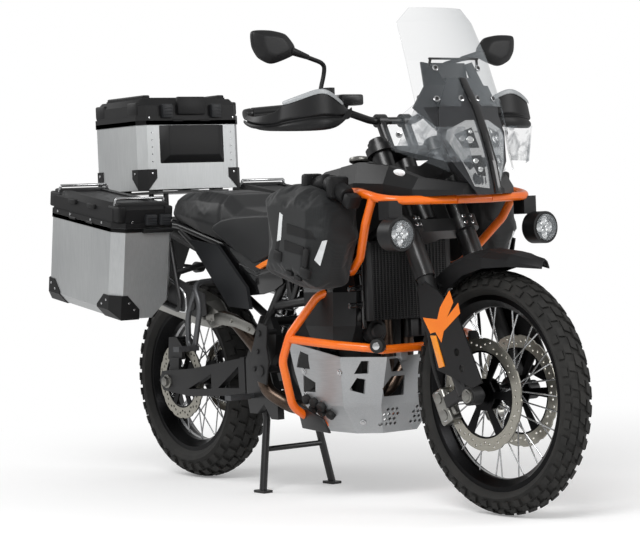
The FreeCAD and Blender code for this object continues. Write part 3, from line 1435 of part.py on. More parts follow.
def make_rack():
    radius = s.rack_tube_radius
    loop = places(side_loop_shares)
    half = len(loop) // 2
    parts = [swept_tube(loop[:half + 1], radius, s.bar_bend / 3),
             swept_tube(loop[half:] + loop[:1], radius, s.bar_bend / 3)]
    struts = places(rack_strut_shares)
    parts.append(bar_shape(struts[0], struts[1], radius))
    struts = places(rack_strut_low_shares)
    parts.append(bar_shape(struts[0], struts[1], radius))
    plate_low = s.top_case_base - s.rack_plate_thickness - s.case_gap
    top = Part.makeBox(float(s.top_case_length), float(s.top_case_width) * 0.7, float(s.rack_plate_thickness),
                       FreeCAD.Vector(along(top_case_rear_share), -s.top_case_width * 0.35, plate_low))
    posts = []
    for x_share, z_share in rack_post_shares:
        for side in (-1, 1):
            foot = FreeCAD.Vector(along(x_share), side * float(s.subframe_spacing), up(z_share))
            posts.append(bar_shape(foot, FreeCAD.Vector(foot.x, foot.y, plate_low + s.rack_plate_thickness / 2), radius))
    foot = []
    for side in (-1, 1):
        for x_share in rack_pad_shares:
            foot.append(Part.makeBox(float(s.peg_width), float(s.peg_width), float(s.case_gap),
                                     FreeCAD.Vector(along(x_share), side * s.top_case_width * 0.3 - s.peg_width / 2,
                                                    plate_low + s.rack_plate_thickness)))
    parts = both_sides(parts) + [top] + posts + foot
    rack = clear_of(parts[0].multiFuse(parts[1:]), ["subframe", "silencer"])
    node(shape_feature("rack_shape", rack), "luggage_rack")


top_case_rear_share = -0.204
rack_post_shares = [(-0.013, 0.872), (-0.073, 0.882)]
rack_pad_shares = [-0.177, -0.046]

# A case's section across and its plan, drawn at its full size and again inside its walls.


def case_solid(length, width, depth, low, top, chamfer, bevel, taper, inset):
    half = length / 2 - inset
    inner = -inset
    outer = -(width - inset)
    base = low + inset
    section = [(inner, top), (outer, top), (outer, base + bevel), (outer + bevel, base), (inner - taper, base),
               (inner, base + taper)]
    if bevel == 0:
        section = [(inner, top), (outer, top), (outer, base), (inner, base)]
    across = prism_shape([FreeCAD.Vector(-half, y, z) for y, z in section], FreeCAD.Vector(half * 2, 0, 0))
    edge = chamfer
    plan = [(-half + edge, outer), (half - edge, outer), (half, outer + edge), (half, inner - edge / 2),
            (half - edge / 2, inner), (-half + edge / 2, inner), (-half, inner - edge / 2), (-half, outer + edge)]
    upright = prism_shape([FreeCAD.Vector(x, y, base) for x, y in plan], FreeCAD.Vector(0, 0, top - base))
    return across.common(upright)


# The pannier hangs nose down on its loop, drawn from its own inner bottom edge.
def make_panniers():
    length, width, depth = s.pannier_length, s.pannier_width, s.pannier_depth
    lid_top = depth + s.pannier_lid_height
    outer = case_solid(length, width, depth, 0, depth, s.pannier_chamfer, s.pannier_bevel, s.pannier_taper, 0)
    inner = case_solid(length, width, depth, 0, depth + s.cut_overrun, s.pannier_chamfer, s.pannier_bevel,
                       s.pannier_taper, s.case_wall)
    body = outer.cut(inner)
    low = depth + s.fit_gap
    cap = case_solid(length, width, depth, low, lid_top, s.pannier_chamfer, 0, 0, 0)
    hollow = case_solid(length, width, depth, low - s.case_wall - s.cut_overrun, lid_top - s.case_wall, s.pannier_chamfer, 0, 0,
                        s.case_wall)
    lid = cap.cut(hollow)
    corner = places(pannier_centre_shares)[0]
    corner.y = -s.pannier_place
    turn_down = FreeCAD.Placement(corner, FreeCAD.Rotation(Y_AXIS, float(s.pannier_pitch)))
    hooks = []
    for point in places(pannier_hook_shares):
        hooks.append(Part.makeBox(float(s.pannier_hook_length), s.pannier_place - abs(point.y), float(s.pannier_hook_height),
                                  point - FreeCAD.Vector(s.pannier_hook_length / 2, s.pannier_place - abs(point.y),
                                                         s.pannier_hook_height / 2)))
    for label, shape, fittings in (("pannier", body, hooks), ("pannier_lid", lid, [])):
        right = shape.copy()
        right.Placement = turn_down
        if fittings:
            right = clear_of(right.multiFuse(fittings), ["luggage_rack"])
        node(shape_feature(f"right_{label}_shell", right), f"right_{label}")
        node(shape_feature(f"left_{label}_shell", right.mirror(FreeCAD.Vector(), Y_AXIS)), f"left_{label}")


pannier_centre_shares = [(0.005, 0.0, 0.655)]
pannier_hook_shares = [(0.085, -0.49, 0.834), (-0.046, -0.49, 0.854), (-0.088, -0.49, 0.8)]


def top_case_part(low, top, inset, open_low, open_top):
    half = s.top_case_width / 2 - inset
    rear = along(top_case_rear_share) + inset
    front = along(top_case_rear_share) + s.top_case_length - inset
    edge = s.top_case_chamfer
    plan = [(rear + edge, -half), (front - edge, -half), (front, -half + edge), (front, half - edge),
            (front - edge, half), (rear + edge, half), (rear, half - edge), (rear, -half + edge)]
    return prism_shape([FreeCAD.Vector(x, y, low - open_low) for x, y in plan],
                       FreeCAD.Vector(0, 0, top - low + open_low + open_top))


def make_top_case():
    low = s.top_case_base
    split = low + s.top_case_depth
    top = split + s.top_case_lid_height
    body = top_case_part(low, split, 0, 0, 0).cut(top_case_part(low + s.case_wall, split, s.case_wall, 0, s.cut_overrun))
    node(shape_feature("top_case_shell", body), "top_case")
    seam = split + s.fit_gap
    lid = top_case_part(seam, top, 0, 0, 0).cut(top_case_part(seam, top - s.case_wall, s.case_wall, s.cut_overrun, 0))
    node(shape_feature("top_case_lid_shell", lid), "top_case_lid")


bag_shares = [
    (0.579, 0.94), (0.579, 0.796), (0.568, 0.7), (0.661, 0.668), (0.745, 0.656), (0.795, 0.8),
    (0.788, 0.908), (0.723, 0.95), (0.628, 0.956),
]


def make_side_bags(avoid):
    inner = [FreeCAD.Vector(along(x), -s.bag_inner, up(z)) for x, z in bag_shares]
    centre = sum(inner[1:], inner[0]) * (1 / len(inner))
    rings = []
    for depth_share, grow_share in bag_ring_shares:
        shift = FreeCAD.Vector(0, -s.bag_depth * depth_share, 0)
        rings.append([centre + (p - centre) * grow_share + shift for p in inner])
    bag = loft_shape(rings)
    right = shape_feature("side_bag_right", clear_of(bag, avoid))
    node(pair("side_bag_pair", right), "side_bags")


bag_ring_shares = [(0, 0.94), (0.15, 1.0), (0.8, 0.98), (1.0, 0.86)]
rear_sprocket_gap = s.fit_gap * 2


def make_chain():
    y = s.chain_place + s.chain_width / 2
    rear_centre = FreeCAD.Vector(rear_x, y, rear_z)
    cover_x, cover_z = outline(cover_centre_shares)[2]
    front_centre = FreeCAD.Vector(cover_x, y, cover_z)

    def belt(rear_radius, front_radius):
        run = front_centre - rear_centre
        tilt = math.atan2(run.z, run.x)
        lean = math.acos((rear_radius - front_radius) / run.Length)
        def touch(centre, radius, angle):
            return centre + FreeCAD.Vector(math.cos(angle), 0, math.sin(angle)) * radius
        top_rear, top_front = touch(rear_centre, rear_radius, tilt + lean), touch(front_centre, front_radius, tilt + lean)
        low_rear, low_front = touch(rear_centre, rear_radius, tilt - lean), touch(front_centre, front_radius, tilt - lean)
        nose = touch(front_centre, front_radius, tilt)
        back = touch(rear_centre, rear_radius, tilt + math.pi)
        return Part.Face(Part.Wire([
            Part.LineSegment(top_rear, top_front).toShape(), Part.Arc(top_front, nose, low_front).toShape(),
            Part.LineSegment(low_front, low_rear).toShape(), Part.Arc(low_rear, back, top_rear).toShape()]))
    inner_rear = s.sprocket_radius + rear_sprocket_gap
    inner_front = s.front_sprocket_radius + s.fit_gap
    depth = FreeCAD.Vector(0, -s.chain_width, 0)
    loop = belt(inner_rear + s.chain_height, inner_front + s.chain_height).extrude(depth)
    node(shape_feature("chain_loop", loop.cut(belt(inner_rear, inner_front).extrude(depth))), "drive_chain")


rear_caliper_shares = [
    (-0.031, 0.404), (0.024, 0.404), (0.029, 0.448), (0.007, 0.478), (-0.024, 0.478),
]


def make_rear_axle():
    wide = s.swingarm_place + s.swingarm_thickness + s.cut_overrun
    axle = rod("rear_axle_bar", s.axle_radius, wide * 2, (rear_x, -wide, rear_z))
    block = plate("rear_caliper_block", outline(rear_caliper_shares), s.caliper_outer - s.caliper_inner, -s.caliper_inner)
    slot = box("rear_caliper_slot", (rear_x - s.rear_disc_radius, -s.rear_disc_place - s.caliper_slot / 2, rear_z),
               (s.rear_disc_radius * 2, s.caliper_slot, s.rear_disc_radius + s.caliper_slot / 2))
    carrier = plate("caliper_carrier", outline(caliper_carrier_shares), s.swingarm_place - s.caliper_outer + s.cut_overrun / 2 - 1,
                    -s.caliper_outer + s.cut_overrun / 2)
    node(fuse("rear_axle_joined", [axle, cut("rear_caliper_open", block, slot), carrier]), "rear_axle_and_caliper")


caliper_carrier_shares = [(-0.013, 0.32), (0.013, 0.32), (0.02, 0.41), (-0.02, 0.41)]
stand_leg_shares = [(0.327, -0.19, 0.27), (0.33, -0.19, 0.226), (0.344, -0.27, 0.006)]
stand_brace_share = 0.42


def make_centre_stand():
    leg = places(stand_leg_shares)
    legs = both_sides([swept_tube(leg, s.stand_tube_radius, s.bar_bend / 2)])
    barrel = bar_shape(leg[0], flip(leg)[0], s.stand_tube_radius)
    brace_at = leg[1] + (leg[2] - leg[1]) * stand_brace_share
    brace = bar_shape(brace_at, flip([brace_at])[0], s.stand_tube_radius * strut_share)
    foot = Part.makeBox(float(s.stand_foot_length), float(s.stand_foot_width), float(s.stand_foot_thickness),
                        FreeCAD.Vector(leg[2].x - s.stand_foot_length / 2, leg[2].y - s.stand_foot_width / 2, 0))
    solid = joined("stand_shape", legs + [barrel, brace] + both_sides([foot]))
    reach = s.frame_plate_place + s.cut_overrun
    hole = rod("stand_hole", s.pivot_axle_radius / 2 * stand_pin_share + s.fit_gap, reach * 2,
               (stand_x, -reach, s.stand_pivot_height))
    node(cut("stand_bored", solid, hole), "centre_stand")


def make_side_stand():
    pivot = places(side_stand_pivot_shares)[0]
    axis = side_stand_axis
    eye = Part.makeCylinder(float(s.side_stand_eye_radius), float(s.side_stand_radius) * 2, pivot - axis * s.side_stand_radius, axis)
    hole = bar_shape(pivot - axis * s.side_stand_eye_radius, pivot + axis * s.side_stand_eye_radius,
                     s.side_stand_pin_radius + s.fit_gap)
    foot = pivot + FreeCAD.Vector(-s.side_stand_length, 0, 0)
    leg = bar_shape(pivot, foot, s.side_stand_radius)
    pad = Part.makeCylinder(float(s.side_stand_eye_radius), float(s.stand_foot_thickness), foot, FreeCAD.Vector(-1, 0, 0))
    node(shape_feature("side_stand_shape", eye.multiFuse([leg, pad]).cut(hole)), "side_stand")


def write_parts():
    doc.recompute()
    for thing in doc.Objects:
        if "Invalid" in thing.State or "Error" in thing.State:
            raise ValueError(f"{thing.Name} did not build")
    os.makedirs("parts", exist_ok=True)
    for thing in finished:
        shape = thing.Shape
        if shape.isNull() or not shape.isValid():
            raise ValueError(f"{thing.Label} has no sound shape")
    for thing in finished:
        thing.Shape.exportStep(f"parts/{thing.Label}.step")


make_wheels()
make_discs_and_sprocket()
make_fork()
make_clamps()
make_handlebar()
make_hand_guards()
make_mirrors()
make_fender()
make_fork_guards()
make_front_calipers()
make_frame()
make_subframe()
make_swingarm()
make_shock()
make_engine()
make_headers()
make_silencer()
make_radiator()
make_chain()
make_rear_axle()
make_upper_bars()
make_lower_bars()
make_tank(["main_frame", "engine", "upper_crash_bars", "lower_crash_bars", "radiator"])
make_tail(["subframe"])
make_seat(["fuel_tank", "subframe"])
make_side_panels()
make_fairings(["fuel_tank", "upper_crash_bars"])
make_nose(["side_fairings", "main_frame", "upper_crash_bars"])
make_windscreen(["nose_fairing", "headlamp", "side_fairings"])
make_dash(["nose_fairing", "windscreen", "main_frame"])
make_lamps()
make_skid_plate(["engine", "exhaust_pipes", "lower_crash_bars", "main_frame"])
make_pegs()
make_rack()
make_panniers()
make_top_case()
make_side_bags(["fuel_tank", "upper_crash_bars", "lower_crash_bars", "side_fairings"])
make_centre_stand()
make_side_stand()
write_parts()
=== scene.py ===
import bmesh
import bpy
import math
from mathutils import Matrix, Vector
from mathutils.bvhtree import BVHTree


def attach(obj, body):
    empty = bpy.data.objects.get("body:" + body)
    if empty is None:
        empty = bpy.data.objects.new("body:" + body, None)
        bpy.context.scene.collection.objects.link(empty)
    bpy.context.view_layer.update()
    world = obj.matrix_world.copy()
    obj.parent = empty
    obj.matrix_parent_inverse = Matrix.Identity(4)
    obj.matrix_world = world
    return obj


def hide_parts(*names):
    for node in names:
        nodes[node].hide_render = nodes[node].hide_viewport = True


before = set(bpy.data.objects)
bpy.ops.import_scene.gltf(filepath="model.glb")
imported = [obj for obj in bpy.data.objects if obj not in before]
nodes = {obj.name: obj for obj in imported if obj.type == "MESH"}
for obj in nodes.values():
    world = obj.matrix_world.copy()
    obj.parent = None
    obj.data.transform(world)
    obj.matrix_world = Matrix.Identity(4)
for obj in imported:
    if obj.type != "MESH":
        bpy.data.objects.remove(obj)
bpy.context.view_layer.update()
print("frame loaded:", len(nodes), "nodes")

rearAxleX = -0.771  # the places below are measured forward of the rear axle, in millimetres


def at(x, y, z):
    return Vector((rearAxleX + x / 1000, y / 1000, z / 1000))


def mm(x, y, z):
    return Vector((x, y, z)) / 1000


def toLinear(hexColour):
    channels = [int(hexColour[i:i + 2], 16) / 255 for i in (1, 3, 5)]
    return tuple(c / 12.92 if c <= 0.04045 else ((c + 0.055) / 1.055) ** 2.4 for c in channels) + (1.0,)


# adds one shader node; settings reach its properties or its sockets, links join other nodes' sockets to it
def addNode(tree, kind, settings=None, links=None):
    node = tree.nodes.new("ShaderNode" + kind)
    for key, value in (settings or {}).items():
        if key == "stops":
            ramp = node.color_ramp
            while len(ramp.elements) < len(value):
                ramp.elements.new(0.5)
            for element, (place, colour) in zip(ramp.elements, value):
                element.position = place
                element.color = toLinear(colour) if isinstance(colour, str) else (colour, colour, colour, 1)
        elif isinstance(key, str) and hasattr(node, key):
            setattr(node, key, value)
        else:
            node.inputs[key].default_value = value
    for key, source in (links or {}).items():
        tree.links.new(source, node.inputs[key])
    return node


def newMaterial(name, shaderSettings):
    material = bpy.data.materials.new(name)
    material.use_nodes = True
    tree = material.node_tree
    tree.nodes.clear()
    shader = addNode(tree, "BsdfPrincipled", shaderSettings)
    addNode(tree, "OutputMaterial", links={"Surface": shader.outputs[0]})
    place = addNode(tree, "TexCoord").outputs["Object"]
    return material, tree, shader, place


def joinTo(tree, shader, links):
    for socket, source in links.items():
        tree.links.new(source, shader.inputs[socket])


# distance of each point of a wheel or disc from its axle
def reachFrom(tree, place, axle):
    centred = addNode(tree, "Mapping", {"Location": (-axle.x, 0, -axle.z)}, {"Vector": place})
    flat = addNode(tree, "VectorMath", {"operation": "MULTIPLY", 1: (1, 0, 1)}, {0: centred.outputs[0]})
    return addNode(tree, "VectorMath", {"operation": "LENGTH"}, {0: flat.outputs[0]}).outputs["Value"]


# colour drift over tens of centimetres, a fine grain in the bump and a little uneven gloss
def grainedMaterial(name, look):
    settings = {"Metallic": look.get("metallic", 0.0), **look.get("shader", {})}
    material, tree, shader, place = newMaterial(name, settings)
    scaled = addNode(tree, "Mapping", {"Scale": look.get("stretch", (1, 1, 1))}, {"Vector": place})
    grain = addNode(tree, "TexNoise", {"Scale": 1000 / look["grainMm"], "Detail": 3.0},
                    {"Vector": scaled.outputs[0]})
    drift = addNode(tree, "TexNoise", {"Scale": look.get("driftScale", 7.0), "Detail": 4.0},
                    {"Vector": place})
    both = addNode(tree, "Mix", {"data_type": "FLOAT", 0: look.get("grainShare", 0.35)},
                   {2: drift.outputs["Fac"], 3: grain.outputs["Fac"]})
    tone = addNode(tree, "ValToRGB", {"stops": [(0.32, look["dark"]), (0.7, look["light"])]},
                   {"Fac": both.outputs[0]})
    gloss = addNode(tree, "MapRange", {"To Min": look["roughness"] - look.get("spread", 0.06),
                                       "To Max": look["roughness"] + look.get("spread", 0.06)},
                    {"Value": both.outputs[0]})
    bump = addNode(tree, "Bump", {"Strength": look.get("bump", 0.25),
                                  "Distance": look.get("depthMm", 0.15) / 1000},
                   {"Height": grain.outputs["Fac"]})
    joinTo(tree, shader, {"Base Color": tone.outputs["Color"], "Roughness": gloss.outputs["Result"],
                          "Normal": bump.outputs["Normal"]})
    return material


dullShine = {"Specular IOR Level": 0.3}
finishes = {
    # smoke-tinted deflectors, cloudy where the light passes through
    "paleSmoke": dict(dark="#8d9092", light="#a6a9ab", roughness=0.3, grainMm=5.0, bump=0.08),
    # injection-moulded polypropylene: a fine etched grain breaks the highlights
    "mouldedBlack": dict(dark="#0e0e0f", light="#171718", roughness=0.44, grainMm=2.2, bump=0.35,
                         shader=dullShine),
    # the same plastic in a lighter grey, on the blade panels
    "mouldedGrey": dict(dark="#1f2022", light="#2a2b2d", roughness=0.42, grainMm=2.2, bump=0.3,
                        shader=dullShine),
    # nose panels are a satin dark grey, seen through the clear screen
    "noseGrey": dict(dark="#2b2c2e", light="#37383a", roughness=0.36, grainMm=2.4, bump=0.25,
                     shader=dullShine),
    # lids, corner pieces and webbing: glass-filled nylon, duller and coarser
    "nylonBlack": dict(dark="#0b0b0c", light="#151516", roughness=0.5, grainMm=2.6, bump=0.45,
                       shader=dullShine),
    # powder coat on steel tube: a faint orange peel under a deep colour
    "orangeCoat": dict(dark="#e8620a", light="#f87a12", roughness=0.3, grainMm=5.0, bump=0.12,
                       shader={"Coat Weight": 0.35, "Coat Roughness": 0.15}),
    "blackCoat": dict(dark="#0c0c0d", light="#161617", roughness=0.38, grainMm=4.0, bump=0.15,
                      shader={"Coat Weight": 0.2, "Coat Roughness": 0.2}),
    # sand-cast aluminium under matt black paint
    "castBlack": dict(dark="#131314", light="#222223", roughness=0.55, grainMm=3.0, bump=0.6, depthMm=0.3),
    "castGrey": dict(dark="#4c4d4f", light="#6a6b6d", metallic=0.85, roughness=0.45, grainMm=3.0, bump=0.5,
                     depthMm=0.3),
    # anodised sheet: fine up-and-down brushing under a clear matt oxide
    "anodisedSheet": dict(dark="#a9abac", light="#c2c4c4", metallic=0.72, roughness=0.42, grainMm=3.0,
                          stretch=(1, 1, 0.05), bump=0.06, driftScale=2.5),
    # bare sheet, brushed along the bike
    "brushedSheet": dict(dark="#a6a8aa", light="#c0c2c3", metallic=0.75, roughness=0.4, grainMm=2.6,
                         stretch=(0.06, 1, 1), bump=0.1, driftScale=4.0),
    "polishedSteel": dict(dark="#b6b7b8", light="#d6d7d8", metallic=1.0, roughness=0.16, grainMm=4.0,
                          bump=0.04),
    "satinSteel": dict(dark="#7d7c78", light="#a3a29d", metallic=1.0, roughness=0.33, grainMm=3.0, bump=0.12),
    # oiled chain plates
    "oiledSteel": dict(dark="#3a3732", light="#6d675c", metallic=0.9, roughness=0.4, grainMm=3.0, bump=0.3),
    # stainless header tube tinted by heat to straw and bronze
    "heatTinted": dict(dark="#3a302a", light="#6f6055", metallic=1.0, roughness=0.34, grainMm=4.0, bump=0.1,
                       driftScale=9.0),
    "chrome": dict(dark="#dcdddd", light="#f2f2f2", metallic=1.0, roughness=0.07, grainMm=6.0, bump=0.02,
                   spread=0.02),
    # tyre compound: dull, with a dusty bloom between the blocks
    "tyreRubber": dict(dark="#191918", light="#2b2a28", roughness=0.72, grainMm=2.5, bump=0.5, depthMm=0.25,
                       driftScale=14.0, shader={"Specular IOR Level": 0.35}),
    "softRubber": dict(dark="#101010", light="#1b1b1b", roughness=0.68, grainMm=2.4, bump=0.5),
    "amberLens": dict(dark="#e07b10", light="#f59a20", roughness=0.2, grainMm=3.0, bump=0.2,
                      shader={"Coat Weight": 0.6}),
    "redLens": dict(dark="#8e0e0b", light="#b3140f", roughness=0.18, grainMm=3.0, bump=0.2,
                    shader={"Coat Weight": 0.6}),
    "whiteLens": dict(dark="#dfe2e4", light="#f6f8f9", roughness=0.16, grainMm=5.0, bump=0.1,
                      shader={"Coat Weight": 0.5, "Emission Color": (1, 1, 1, 1), "Emission Strength": 0.3}),
    # glass-bead film on the bags
    "reflectiveFilm": dict(dark="#c9cccd", light="#e6e8e8", roughness=0.3, grainMm=2.0, bump=0.35),
    # piano-black trim round the lenses
    "glossBlack": dict(dark="#0b0b0c", light="#121213", roughness=0.14, grainMm=8.0, bump=0.03,
                       shader={"Coat Weight": 0.5}),
    # printed vinyl: flatter than the powder coat
    "orangeFilm": dict(dark="#ea7010", light="#f6861c", roughness=0.42, grainMm=3.0, bump=0.1),
    "displayGlass": dict(dark="#07080a", light="#0d0f12", roughness=0.08, grainMm=9.0, bump=0.02,
                         spread=0.02),
    "mirrorGlass": dict(dark="#e4e6e8", light="#f0f2f4", metallic=1.0, roughness=0.03, grainMm=9.0, bump=0.0,
                        spread=0.01),
}
made = {name: grainedMaterial(name, look) for name, look in finishes.items()}


# a wire wheel in one node: distance from its axle tells the hub, the spokes and the rim apart
def makeWheelMetal(name, axle, hubRadius, rimRadius):
    material, tree, shader, place = newMaterial(name, {"Metallic": 0.9})
    reach = reachFrom(tree, place, axle)
    past = addNode(tree, "Math", {"operation": "GREATER_THAN", 1: hubRadius}, {0: reach})
    short = addNode(tree, "Math", {"operation": "LESS_THAN", 1: rimRadius}, {0: reach})
    spoke = addNode(tree, "Math", {"operation": "MULTIPLY"}, {0: past.outputs[0], 1: short.outputs[0]})
    grain = addNode(tree, "TexNoise", {"Scale": 260.0, "Detail": 3.0}, {"Vector": place})
    dark = addNode(tree, "ValToRGB", {"stops": [(0.3, "#0b0b0c"), (0.7, "#161617")]},
                   {"Fac": grain.outputs["Fac"]})
    bright = addNode(tree, "ValToRGB", {"stops": [(0.3, "#a4a5a6"), (0.7, "#cfd0d1")]},
                     {"Fac": grain.outputs["Fac"]})
    colour = addNode(tree, "Mix", {"data_type": "RGBA"}, {0: spoke.outputs[0], 6: dark.outputs[0],
                                                          7: bright.outputs[0]})
    gloss = addNode(tree, "MapRange", {"To Min": 0.3, "To Max": 0.2}, {"Value": spoke.outputs[0]})
    bump = addNode(tree, "Bump", {"Strength": 0.1, "Distance": 0.0002}, {"Height": grain.outputs["Fac"]})
    joinTo(tree, shader, {"Base Color": colour.outputs[2], "Roughness": gloss.outputs["Result"],
                          "Normal": bump.outputs["Normal"]})
    return material


# a floating disc: the ring is ground round the axle, the carrier inside it is black
def makeDiscSteel(name, axle, carrierRadius):
    material, tree, shader, place = newMaterial(name, {"Metallic": 0.95})
    reach = reachFrom(tree, place, axle)
    rings = addNode(tree, "TexNoise", {"noise_dimensions": "1D", "Scale": 900.0, "Detail": 2.0}, {"W": reach})
    outside = addNode(tree, "Math", {"operation": "GREATER_THAN", 1: carrierRadius}, {0: reach})
    ground = addNode(tree, "ValToRGB", {"stops": [(0.3, "#8c897f"), (0.7, "#bdbab0")]},
                     {"Fac": rings.outputs["Fac"]})
    colour = addNode(tree, "Mix", {"data_type": "RGBA", 6: toLinear("#141415")},
                     {0: outside.outputs[0], 7: ground.outputs[0]})
    bump = addNode(tree, "Bump", {"Strength": 0.25, "Distance": 0.0002}, {"Height": rings.outputs["Fac"]})
    shader.inputs["Roughness"].default_value = 0.32
    joinTo(tree, shader, {"Base Color": colour.outputs[2], "Normal": bump.outputs["Normal"]})
    return material


# clear cast acrylic: nearly no tint, a hard gloss, and a painted reflection that makes it greyer where it is
# seen edge-on
def makeClearSheet(name, hexTint, alpha):
    material, tree, shader, place = newMaterial(name, {"Base Color": toLinear(hexTint), "Roughness": 0.05,
                                                       "IOR": 1.49, "Alpha": alpha, "Coat Weight": 0.3})
    smears = addNode(tree, "TexNoise", {"Scale": 18.0, "Detail": 5.0}, {"Vector": place})
    gloss = addNode(tree, "MapRange", {"To Min": 0.02, "To Max": 0.12}, {"Value": smears.outputs["Fac"]})
    joinTo(tree, shader, {"Roughness": gloss.outputs["Result"]})
    # painted reflection: the grey sheet turns more opaque where it is seen edge-on
    edgeOn = addNode(tree, "LayerWeight", {"Blend": 0.45})
    paintedReflection = addNode(tree, "MapRange", {"From Min": 0.1, "To Min": alpha, "To Max": 0.5},
                   {"Value": edgeOn.outputs["Facing"]})
    joinTo(tree, shader, {"Alpha": paintedReflection.outputs["Result"]})
    return material


# the screen's lower wings: clear sheet with a painted reflection of the dark studio lying over it in patches
def makeStudioReflectionSheet(name):
    material, tree, shader, place = newMaterial(name, {"Base Color": toLinear("#7d8286"), "Roughness": 0.08,
                                                       "Coat Weight": 0.6})
    # painted reflection: noise patches of the dark studio set into the sheet's alpha
    patches = addNode(tree, "TexNoise", {"Scale": 26.0, "Detail": 7.0, "Distortion": 1.2}, {"Vector": place})
    paintedReflection = addNode(tree, "ValToRGB", {"stops": [(0.38, 0.08), (0.66, 0.5)]}, {"Fac": patches.outputs["Fac"]})
    joinTo(tree, shader, {"Alpha": paintedReflection.outputs["Color"]})
    return material


# woven polyester under a matt coating: threads 0.6 mm apart, drawn 4 mm apart so that they show
def makeCoatedWeave(name):
    material, tree, shader, place = newMaterial(name, {"Roughness": 0.62, "Sheen Weight": 0.12,
                                                       "Sheen Roughness": 0.5, "Specular IOR Level": 0.3})
    across, down = (addNode(tree, "TexWave", {"wave_type": "BANDS", "bands_direction": way, "Scale": 78.0,
                                              "Distortion": 0.6}, {"Vector": place}) for way in "XZ")
    weave = addNode(tree, "Math", {"operation": "MULTIPLY"},
                    {0: across.outputs["Fac"], 1: down.outputs["Fac"]})
    drift = addNode(tree, "TexNoise", {"Scale": 11.0, "Detail": 5.0}, {"Vector": place})
    both = addNode(tree, "Mix", {"data_type": "FLOAT", 0: 0.3},
                   {2: drift.outputs["Fac"], 3: weave.outputs[0]})
    tone = addNode(tree, "ValToRGB", {"stops": [(0.25, "#131415"), (0.75, "#212324")]},
                   {"Fac": both.outputs[0]})
    bump = addNode(tree, "Bump", {"Strength": 0.3, "Distance": 0.0004}, {"Height": weave.outputs[0]})
    joinTo(tree, shader, {"Base Color": tone.outputs["Color"], "Normal": bump.outputs["Normal"]})
    return material


# grained seat vinyl: cells a millimetre wide, drawn 3 mm wide so that they show
def makeSeatVinyl(name):
    material, tree, shader, place = newMaterial(name, {"Roughness": 0.5, "Sheen Weight": 0.05,
                                                       "Specular IOR Level": 0.35})
    cells = addNode(tree, "TexVoronoi", {"feature": "DISTANCE_TO_EDGE", "Scale": 330.0}, {"Vector": place})
    drift = addNode(tree, "TexNoise", {"Scale": 9.0, "Detail": 4.0}, {"Vector": place})
    tone = addNode(tree, "ValToRGB", {"stops": [(0.3, "#161718"), (0.7, "#1f2021")]},
                   {"Fac": drift.outputs["Fac"]})
    gloss = addNode(tree, "MapRange", {"To Min": 0.44, "To Max": 0.58}, {"Value": drift.outputs["Fac"]})
    bump = addNode(tree, "Bump", {"Strength": 0.35, "Distance": 0.0003},
                   {"Height": cells.outputs["Distance"]})
    joinTo(tree, shader, {"Base Color": tone.outputs["Color"], "Roughness": gloss.outputs["Result"],
                          "Normal": bump.outputs["Normal"]})
    return material


frontAxle = at(1528, 0, 347)
rearAxle = at(0, 0, 333)
special = {
    "frontWheelMetal": (makeWheelMetal, frontAxle, 0.046, 0.242),
    "rearWheelMetal": (makeWheelMetal, rearAxle, 0.060, 0.206),
    "frontDiscSteel": (makeDiscSteel, frontAxle, 0.124),
    "rearDiscSteel": (makeDiscSteel, rearAxle, 0.094),
    "clearScreen": (makeClearSheet, "#8b9195", 0.06),
    "clearLens": (makeClearSheet, "#b9bfc3", 0.08),
    "mottledSheet": (makeStudioReflectionSheet,), "coatedWeave": (makeCoatedWeave,), "seatVinyl": (makeSeatVinyl,),
}
for name, (maker, *values) in special.items():
    made[name] = maker(name, *values)

# the finish of each CAD node
nodeFinish = {
    "blackCoat": ["main_frame", "subframe", "luggage_rack", "triple_clamps", "handlebar", "centre_stand",
                  "side_stand", "fork_tubes"],
    "castBlack": ["engine", "swingarm", "rear_axle_and_caliper", "fork_sliders"],
    "castGrey": ["front_calipers", "rider_footpegs", "passenger_footpegs"],
    "heatTinted": ["exhaust_pipes"], "satinSteel": ["silencer"], "polishedSteel": ["rear_shock"],
    "oiledSteel": ["drive_chain"], "orangeCoat": ["upper_crash_bars", "lower_crash_bars"],
    "mouldedBlack": ["fuel_tank", "tail", "side_fairings", "dash", "mirrors", "front_fender", "fork_guards",
                     "radiator", "auxiliary_lamps", "hand_guards", "side_bags", "seat"],
    "mouldedGrey": ["side_panels"], "noseGrey": ["nose_fairing"], "clearLens": ["headlamp"],
    "clearScreen": ["windscreen"], "brushedSheet": ["skid_plate"],
    "anodisedSheet": ["right_pannier", "left_pannier", "top_case"],
    "nylonBlack": ["right_pannier_lid", "left_pannier_lid", "top_case_lid"],
    "tyreRubber": ["front_tyre", "rear_tyre"], "frontWheelMetal": ["front_spoked_rim"],
    "rearWheelMetal": ["rear_spoked_rim"], "frontDiscSteel": ["front_brake_discs"],
    "rearDiscSteel": ["rear_disc_and_sprocket"],
}
for finish, names in nodeFinish.items():
    for name in names:
        mesh = nodes[name].data
        mesh.materials.clear()
        mesh.materials.append(made[finish])
print("materials made:", len(made))


def pickVerts(geom):
    return [g for g in geom if isinstance(g, bmesh.types.BMVert)]


# joins a small part to a larger one, moved into place, and lets go of it
def addTo(bm, part, matrix=None):
    if matrix is not None:
        bmesh.ops.transform(part, matrix=matrix, verts=part.verts)
    carrier = bpy.data.meshes.new("carrier")
    part.to_mesh(carrier)
    part.free()
    bm.from_mesh(carrier)
    bpy.data.meshes.remove(carrier)


def bevelEdges(part, edges, offset, segments=2):
    bmesh.ops.bevel(part, geom=edges, offset=offset, offset_type="OFFSET", segments=segments, profile=0.5,
                    affect="EDGES", material=-1, clamp_overlap=True)


# a block, turned about the axis across the bike
def addBlock(bm, centre, size, edge=0.0, turn=0.0, segments=2):
    part = bmesh.new()
    bmesh.ops.create_cube(part, size=1)
    bmesh.ops.scale(part, vec=size, verts=part.verts)
    if edge:
        bevelEdges(part, part.edges[:], edge, segments)
    addTo(bm, part, Matrix.Translation(centre) @ Matrix.Rotation(turn, 4, "Y"))


